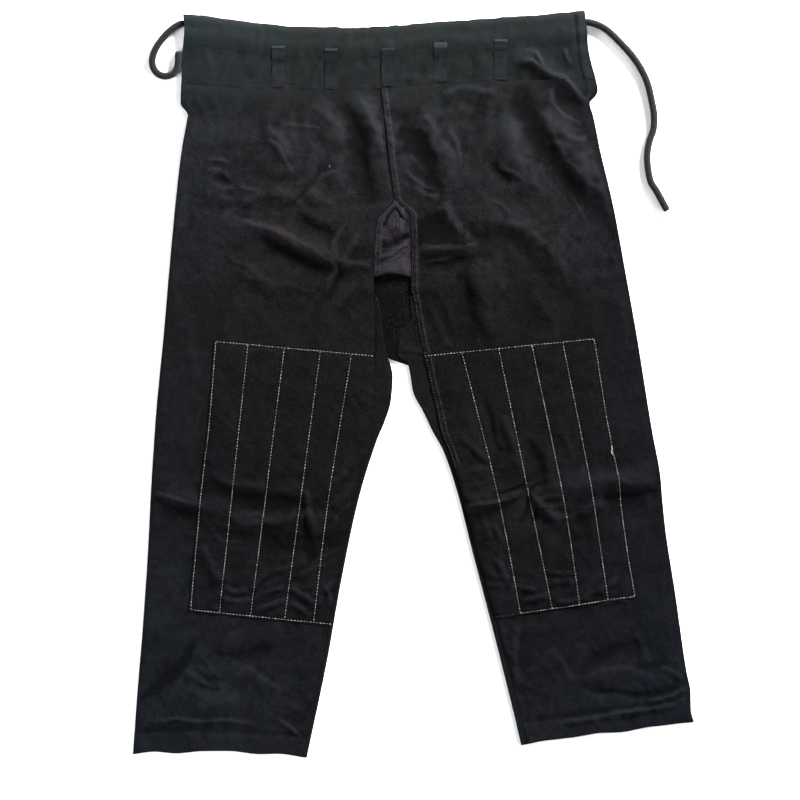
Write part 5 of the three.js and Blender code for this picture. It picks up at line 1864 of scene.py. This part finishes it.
@dataclass
class Gusset:
    """The diamond gusset: hooded at the front, tucked under, and folded back along the ground."""

    right: Leg
    left: Leg
    columns: int = 26
    spacing: float = 1.6
    hood: float = 5.0
    hood_end: float = 139.0
    seam_width: float = 8.0
    cloth: Cloth = later()
    worn_and_shaded: Array = later()

    def boundary(self, leg: Leg) -> Curve:
        """Where a leg's panels end on its inner side: places across, from heights along the leg."""
        x, y = (place[:, 0] for place in leg.plan(leg.width + leg.roll))
        return partial(np.interp, xp=np.sort(y), fp=x[np.argsort(y)])

    def build(self) -> None:
        """Carries an arched line along the path: z + rise * 4p(1 - p) at the part p across.

        Its creases lie on the hood alone. It is painted darker in the hollow under the hood, as shade, and
        along the hood's creases, painted lighter at the hood's lower edge as a highlight, and raised in a
        strip along the right seam.
        """
        path = smooth_route(GUSSET_PATH, self.spacing)
        y, z, rise = path[:, :1], np.maximum(path[:, 1:2], GROUND_MID), path[:, 2:]
        part = np.linspace(0, 1, self.columns)[None]
        low = (13 + 10 * part) * (1 - smooth_step(y, 50, 95))
        y = y + self.hood * arch(part) * bell(y - self.hood_end, 14) - low
        right = self.boundary(self.right)(y) + GUSSET_GAP
        left = self.boundary(self.left)(y) - GUSSET_GAP
        x = right + (left - right) * part
        down = length_along(path[:, :2])[:, None]
        creases = 1.2 * wrinkles(x, down, 62, 13, Seed.GUSSET_LONG)
        creases += 0.7 * wrinkles(x, down, 150, 8, Seed.GUSSET_SHORT) + crease_relief(x, y, GUSSET_CREASES)
        creases += strip(x - right + 0.4, self.seam_width, 0.7)
        creases += pucker(x - right - 4, down, 0.8, 5, Seed.GUSSET_SEAM)
        creases *= (1 - smooth_step(down, 92, 104)) * np.minimum(1, arch(part) * 1.6)
        self.cloth = Cloth.over(x, y, z + rise * arch(part) + creases, x, down)
        # Painted shade in the hollow under the hood and along the hood's creases, and a painted highlight at
        # the hood's lower edge.
        self.worn_and_shaded = GUSSET_FADED - (0.9 - 0.3 * part) * smooth_step(down, 106, 116)
        self.worn_and_shaded = self.worn_and_shaded + paint_light_and_shade(x, y, GUSSET_PAINTED_SHADE) * (1 - smooth_step(down, 96, 104))
        self.worn_and_shaded += strip(x - right + 0.4, self.seam_width, 0.1) * (1 - smooth_step(down, 90, 100))
        self.worn_and_shaded += 0.56 * bell(down - 88, 14)

    def dress(self, wardrobe: Wardrobe) -> None:
        """Makes the gusset and stitches its right edge.

        Args:
            wardrobe: the finishes and threads.
        """
        made = self.cloth.sew("gusset", Slot.DRILL, WALL, wardrobe.gusset, self.worn_and_shaded)
        rows = np.arange(3.0, 96 / self.spacing)
        for column in (1.2, 4.2):
            wardrobe.felling.row(self.cloth, rows, column, WALL, FELLED_PITCH)


# Waistband.


@dataclass
class Waistband:
    """The front band draped over the back band, whose top is a casing for the cord."""

    right: Leg
    left: Leg
    back_inset: float = 0.003
    columns: int = 250
    end_columns: int = 3
    seam_down: float = 78.0
    front: Cloth = later()
    back: Cloth = later()
    worn_and_shaded: Array = later()
    from_hem: Array = later()

    def seam(self, part: Array) -> tuple[Array, Array]:
        """The lower seam, from the fronts' top lines with their parabolas' bow.

        Args:
            part: places across, from 0 on the right to 1 on the left.

        Returns:
            X and Y.
        """
        ends = []
        for leg, share in ((self.right, part * 2), (self.left, (1 - part) * 2)):
            outer, inner, bow = np.array(CROSS_LINES[leg.side][0][:3], float)
            start, end = leg.outer_x(outer), leg.seam_x(inner)
            ends.append((start + (end - start) * share, outer + (inner - outer) * share + bow * arch(share)))
        x, y = (np.where(part < 0.5, *pair) for pair in zip(*ends))
        return x, y

    def plan(self, part: Array, down: Array) -> tuple[Array, Array, Array]:
        """Places on the band. Its uneven top edge runs between the outer edges of the legs.

        Args:
            part: places across, from 0 on the right to 1 on the left.
            down: distances down from the top edge.

        Returns:
            X, Y and the band's height there.
        """
        seam_x, seam_y = self.seam(part)
        seam_right, seam_left = self.right.outer_x(seam_y), self.left.outer_x(seam_y)
        across = np.clip((seam_x - seam_right) / (seam_left - seam_right), 0, 1)
        top_y = float(WAIST_TOP[0][1])
        top_right, top_left = self.right.outer_x(top_y), self.left.outer_x(top_y)
        top_x = top_right + (top_left - top_right) * across
        top = curve_through(WAIST_TOP)(top_x) + layered(top_x, 0 * top_x, WAIST_WAVES)
        y = top - down
        right, left = self.right.outer_x(y), self.left.outer_x(y)
        return right + (left - right) * across, y, top - seam_y

    def path(self, profile: Array, height: Array, seam_gap: float) -> tuple[Array, Array]:
        """A profile carried across the band, whose lowest part is stretched to end at the seam.

        Args:
            profile: one row of distance down and height for each of its points.
            height: of the band at each part across.
            seam_gap: left at the seam.

        Returns:
            Distances down and heights, with a row for each point and a column for each part.
        """
        share = np.clip((profile[:, :1] - BAND_DRAPE_END) / (self.seam_down - BAND_DRAPE_END), 0, 1)
        down = profile[:, :1] + share * (height[None] - seam_gap - self.seam_down)
        return down, profile[:, 1:] + 0 * down

    def build(self) -> None:
        """Works out the front band: round the top of the casing, and eased down off it.

        Creases and gathers lie on it, and the turned edge of its left end is raised. It is more
        worn along the top edge and along that turned edge, and painted lighter where it drapes off the
        casing, against the shade that falls on that slope.
        """
        part = np.linspace(0, 1, self.columns)
        height = self.plan(part, np.zeros_like(part))[2]
        centre = GROUND_MID + CASING_CLOTH / 2
        radius = BAND_OVER_CASING - centre
        angle = np.linspace(0, math.pi / 2, 9)
        turn = np.stack([CASING_FOLD - radius * np.cos(angle), centre + radius * np.sin(angle)], axis=1)
        places = np.array([CASING_FLAT_END, 24, 28, 32, 36, 40, 44, BAND_DRAPE_END, 60, self.seam_down])
        eased = smooth_step(places, CASING_FLAT_END, BAND_DRAPE_END)
        drape = np.stack([places, BAND_OVER_CASING + (BAND_LOW_HEIGHT - BAND_OVER_CASING) * eased], axis=1)
        down, z = self.path(even_route(np.vstack([turn, drape]), BAND_PITCH), height, SEAM_GAP / 2)
        x, y, _ = self.plan(part[None], down)
        to_end = np.minimum(x - self.right.outer_x(y), self.left.outer_x(y) - x)
        fine = crease_relief(x, y, BAND_CREASES + HIP_CREASES) + 0.55 * cloth_relief(x, y)
        fine += 0.3 * wrinkles(x, y, 85, 14, Seed.BAND)
        fine += pucker(down - 4, x, 0.35, 8, Seed.BAND_TOP)
        fine += pucker(down - height, x, 0.4, 12, Seed.BAND_SEAM)
        fine += pucker(to_end - 10, y, 0.4, 8, Seed.BAND_END)
        z = z + fold_relief(x, y, HIP_FOLDS) * np.minimum(1, np.clip(down, 0, None) / 40)
        z = z + np.maximum(fine, -DEEPEST_CUT) * smooth_step(down, -6, 8)
        self.from_hem = x - curve_through(SIDE_HEM)(y)
        z = z + 0.7 * smooth_step(self.from_hem, 0, 2) - 0.8 * bell(self.from_hem, 1.8)
        # The bell 38 mm down is painted light against the shade where the band drapes off the casing; the top
        # and turned edges are worn.
        self.worn_and_shaded = BAND_FADED + 0.16 * smooth_step(self.from_hem, 0, 3) + 0.32 * bell(down - 38, 15)
        self.worn_and_shaded = self.worn_and_shaded + 0.35 * (1 - smooth_step(down, -6, 4))
        self.front = Cloth.over(x, y, z, x, down)
        self.build_back(part * (1 - 2 * self.back_inset) + self.back_inset, height)

    def build_back(self, part: Array, height: Array) -> None:
        """Works out the back band: along the ground, over the cord, and down to its stitching.

        Args:
            part: places across.
            height: of the band at each of them.
        """
        radius = CASING_CLOTH / 2
        angle = np.linspace(0, math.pi, 15)
        rise = GROUND_MID + radius * (1 - np.cos(angle))
        bend = np.stack([CASING_FOLD - radius * np.sin(angle), rise], axis=1)
        over = ((CASING_FLAT_END, GROUND_MID + CASING_CLOTH), (31, GROUND_MID + radius),
                (CASING_END, LOWEST_UPPER_LAYER))
        ground = np.array([(self.seam_down, GROUND_MID), (CASING_FOLD, GROUND_MID)])
        profile = np.vstack([even_route(ground, 6.0)[:-1], even_route(np.vstack([bend, over]), 1.8)])
        down, z = self.path(profile, height, SEAM_GAP)
        x, y, _ = self.plan(part[None], down)
        self.back = Cloth.over(x, y, z, x, down + 200)

    def dress(self, wardrobe: Wardrobe) -> None:
        """Makes both bands and their rows of stitches.

        Args:
            wardrobe: the finishes and threads.
        """
        made = self.front.sew("waistband_front", Slot.BAND, BAND_WALL, wardrobe.band, self.worn_and_shaded)
        made = self.back.sew("waistband_back", Slot.BAND, WALL, wardrobe.band, BACK_BAND_FADED)
        last_row, last_column = (count - 1 for count in self.front.points.shape[:2])
        across = np.linspace(self.end_columns, last_column - self.end_columns, last_column + 1)
        along = self.front.flat[:, (last_column + 1) // 2, 1]
        for down in (6.0, 39.0, along[-1] - 2, along[-1] - 8):
            row = np.interp(down, along, np.arange(last_row + 1))
            wardrobe.seams.row(self.front, row, across, BAND_WALL)
        rows = np.arange(3, last_row)
        for column in (5.0, crossing(self.from_hem)[rows]):
            wardrobe.seams.row(self.front, rows.astype(float), column, BAND_WALL)


@dataclass
class BeltLoop:
    """A belt loop: a folded strip bar-tacked to the band at its top and bottom, slack between."""

    name: str
    x: float
    top: float
    bottom: float
    fold_depth: float
    fold_highlight: float
    width: float = 17.0
    wall: float = 0.36
    slack: float = 0.04
    edge_drop: float = 0.08
    roll: float = 0.45
    clearance: float = 0.03
    rows: int = 34
    columns: int = 14
    cloth: Cloth = later()
    worn_and_shaded: Array = later()

    def build(self, band: Cloth) -> None:
        """Carries a straight line down the band: its height follows a raised half sine.

        Args:
            band: the front waistband.
        """
        part = np.linspace(0, 1, self.rows)[:, None]
        offset = np.linspace(-0.5, 0.5, self.columns)[None] * self.width
        y = self.top + (self.bottom - self.top) * part + 0 * offset
        x = self.x + offset + 0 * part
        coarse = band.height_at(x[::3, ::3], y[::3, ::3]).max(axis=1)
        under = np.interp(part[:, 0], part[::3, 0], coarse)[:, None]
        bulge = np.sin(math.pi * part)
        z = under + (BAND_WALL + self.wall) / 2 + self.clearance + self.slack * bulge**0.8
        z = z - self.edge_drop * (np.abs(offset) / self.width * 2) ** 6
        z = z + 0.25 * soft_noise(x / 7, y / 9, Seed.LOOP) * bulge
        from_top = self.top - y
        z = z + self.roll * self.fold_highlight * bell(from_top - self.fold_depth, self.fold_depth)
        # The top fold is painted lighter, as wear and a painted highlight, and the slope under it is painted
        # lighter against the shade that falls on it.
        self.worn_and_shaded = LOOP_FADED + 0.85 * self.fold_highlight * np.exp(-((from_top / self.fold_depth) ** 4))
        self.worn_and_shaded = self.worn_and_shaded + 0.12 * bell(from_top - 12, 6)
        self.cloth = Cloth.over(x, y, z, x, y)

    def dress(self, wardrobe: Wardrobe) -> None:
        """Makes the loop and its bar tacks.

        Args:
            wardrobe: the finishes and threads.
        """
        made = self.cloth.sew(f"belt_loop_{self.name}", Slot.BAND, self.wall, wardrobe.loop, self.worn_and_shaded)
        across = np.linspace(0.6, self.columns - 1.6, 14)
        for row in (2.0, self.rows - 3.0):
            wardrobe.seams.row(self.cloth, row, across, self.wall, TACK_PITCH)


# Drawstring, lint and studio.


@dataclass
class Drawstring:
    """The braided cord: a free end on each side and the stretch pressed in the casing."""

    sides: int = 24
    ring_pitch: float = 1.6
    run_pitch: float = 4.0
    run_gap: float = 1.4

    def lay(self, name: str, route: Array, height: float, material: Material) -> Object:
        """Makes a tube along a route.

        Args:
            name: the object's name.
            route: evenly spaced points.
            height: of the tube; its width is the cord's diameter.
            material: the finish.

        Returns:
            The tube's object.
        """
        points, flat, faces = tube(route, CORD_DIAMETER, height, self.sides)
        made = make_object(name, points, faces, material)
        set_uv(made, flat)
        return made

    def free_end(self, side: Side, table: Sequence[tuple], material: Material) -> None:
        """Args:
            side: the wearer's side.
            table: the points that its route passes.
            material: the finish.
        """
        route = smooth_route(table, self.ring_pitch)
        made = self.lay(f"cord_{side.value}_end", route, CORD_DIAMETER, material)
        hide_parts(f"drawstring_{side.value}")

    def build(self, wardrobe: Wardrobe) -> None:
        """Lays both free ends and the stretch between them.

        Args:
            wardrobe: the finishes.
        """
        self.free_end(Side.LEFT, DRAWSTRING_LEFT_ROUTE, wardrobe.cord)
        self.free_end(Side.RIGHT, DRAWSTRING_RIGHT_ROUTE, wardrobe.cord)
        start = DRAWSTRING_RIGHT_ROUTE[0][0] + self.run_gap
        end = DRAWSTRING_LEFT_ROUTE[0][0] - self.run_gap
        x = np.linspace(start, end, 60)
        y = curve_through(WAIST_TOP)(x) - CORD_DEPTH_BELOW_TOP
        route = np.stack([x, y, np.full_like(x, GROUND_MID + CASING_CLOTH / 2)], axis=1)
        made = self.lay("cord_casing_run", even_route(route, self.run_pitch), CORD_RUN_HEIGHT, wardrobe.cord)
        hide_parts("drawstring_run")


@dataclass
class Lint:
    """A speck of pale fluff, or the tail of a thread, curled on a front."""

    name: str
    side: Side
    lift: float
    width: float
    route: Line
    sides: int = 6
    ring_pitch: float = 0.8

    def build(self, fronts: dict[Side, FrontPanel], wardrobe: Wardrobe) -> None:
        """Lays the curl at the height of the nearest point of cloth.

        Args:
            fronts: the two fronts.
            wardrobe: the finishes.
        """
        x, y = np.array(self.route, float).T
        z = np.full_like(x, fronts[self.side].cloth.height_at(x, y).max() + self.lift)
        route = smooth_route(np.stack([x, y, z], axis=1), self.ring_pitch)
        points, _, faces = tube(route, self.width, self.width, self.sides)
        make_object(f"lint_{self.name}", points, faces, wardrobe.white)


@dataclass
class Studio:
    """A pale floor, soft lights from beyond the left hip and from both sides, and a camera above."""

    view_size: float = 1.04
    view_centre: tuple[float, float] = (-0.01755, -0.02015)
    camera_height: float = 3.0
    camera_reach: float = 100.0
    sensor: float = 36.0
    floor_reach: float = 20.0
    floor_drop: float = 0.0004
    sky: float = 0.26

    def area_light(self, name: str, place: Place, size: float, power: float, colour: Colour) -> None:
        """Hangs a square soft light that faces the middle of the garment.

        Args:
            name: the light's name.
            place: where it hangs, in metres.
            size: of its side.
            power: in watts.
            colour: of its light.
        """
        lamp = bpy.data.lights.new(name, "AREA")
        lamp.shape, lamp.size, lamp.energy, lamp.color = "SQUARE", size, power, colour
        made = link(name, lamp)
        made.location = place
        made.rotation_euler = (-Vector(place)).to_track_quat("-Z", "Y").to_euler()

    def lay_floor(self) -> None:
        """Makes the floor, just under the garment."""
        reach, low = self.floor_reach, -self.floor_drop
        corners = [(-reach, -reach, low), (reach, -reach, low), (reach, reach, low), (-reach, reach, low)]
        mesh = bpy.data.meshes.new("floor")
        mesh.from_pydata(corners, [], [(0, 1, 2, 3)])
        mesh.materials.append(FloorFinish().material())
        link("floor", mesh)

    def build(self) -> None:
        """Makes the floor, the lights, the sky and the camera."""
        self.lay_floor()
        self.area_light("key", (2.5, 3.3, 1.75), 1.2, 1400.0, (1.0, 1.0, 0.98))
        self.area_light("left_fill", (-2.2, -0.6, 1.2), 1.5, 94.0, (0.97, 0.99, 1.0))
        self.area_light("right_fill", (2.3, -0.9, 1.2), 1.5, 58.0, (0.97, 0.99, 1.0))
        scene = bpy.context.scene
        scene.world = bpy.data.worlds.new("sky")
        scene.world.use_nodes = True
        background = scene.world.node_tree.nodes["Background"]
        background.inputs["Color"].default_value = (1.0, 1.0, 1.0, 1.0)
        background.inputs["Strength"].default_value = self.sky
        scene.view_settings.view_transform = "Standard"
        scene.view_settings.look = "None"
        lens = bpy.data.cameras.new("camera")
        lens.sensor_width = self.sensor
        lens.lens = self.sensor * self.camera_height / self.view_size
        lens.clip_end = self.camera_reach
        scene.camera = link("camera", lens)
        scene.camera.location = (*self.view_centre, self.camera_height)


def main() -> None:
    """Builds the garment piece by piece and logs each piece as it is sewn, and the count of stitches."""
    logging.basicConfig(level=logging.INFO, format="%(name)s: %(message)s")
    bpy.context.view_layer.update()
    Studio().build()
    wardrobe = Wardrobe()
    Drawstring().build(wardrobe)
    log.info("drawstring laid")
    legs = {side: Leg(side) for side in Side}
    fronts = {side: FrontPanel(leg) for side, leg in legs.items()}
    for side, front in fronts.items():
        for piece in (BackPanel(front.leg), front, KneePatch(front)):
            piece.build()
            piece.dress(wardrobe)
            log.info("%s %s sewn", side.value, type(piece).__name__)
    gusset, band = Gusset(*legs.values()), Waistband(*legs.values())
    for piece in (gusset, band):
        piece.build()
        piece.dress(wardrobe)
        log.info("%s sewn", type(piece).__name__)
    for row in BELT_LOOPS:
        loop = BeltLoop(*row)
        loop.build(band.front)
        loop.dress(wardrobe)
        log.info("belt loop %s sewn on", loop.name)
    for stitches in (wardrobe.seams, wardrobe.felling, wardrobe.knees):
        stitches.build()
        log.info("%s: %d stitches", stitches.name, sum(map(len, stitches.places)))
    for row in LINT:
        Lint(*row).build(fronts, wardrobe)
        log.info("lint %s laid", row[0])


if __name__ == "__main__":
    main()
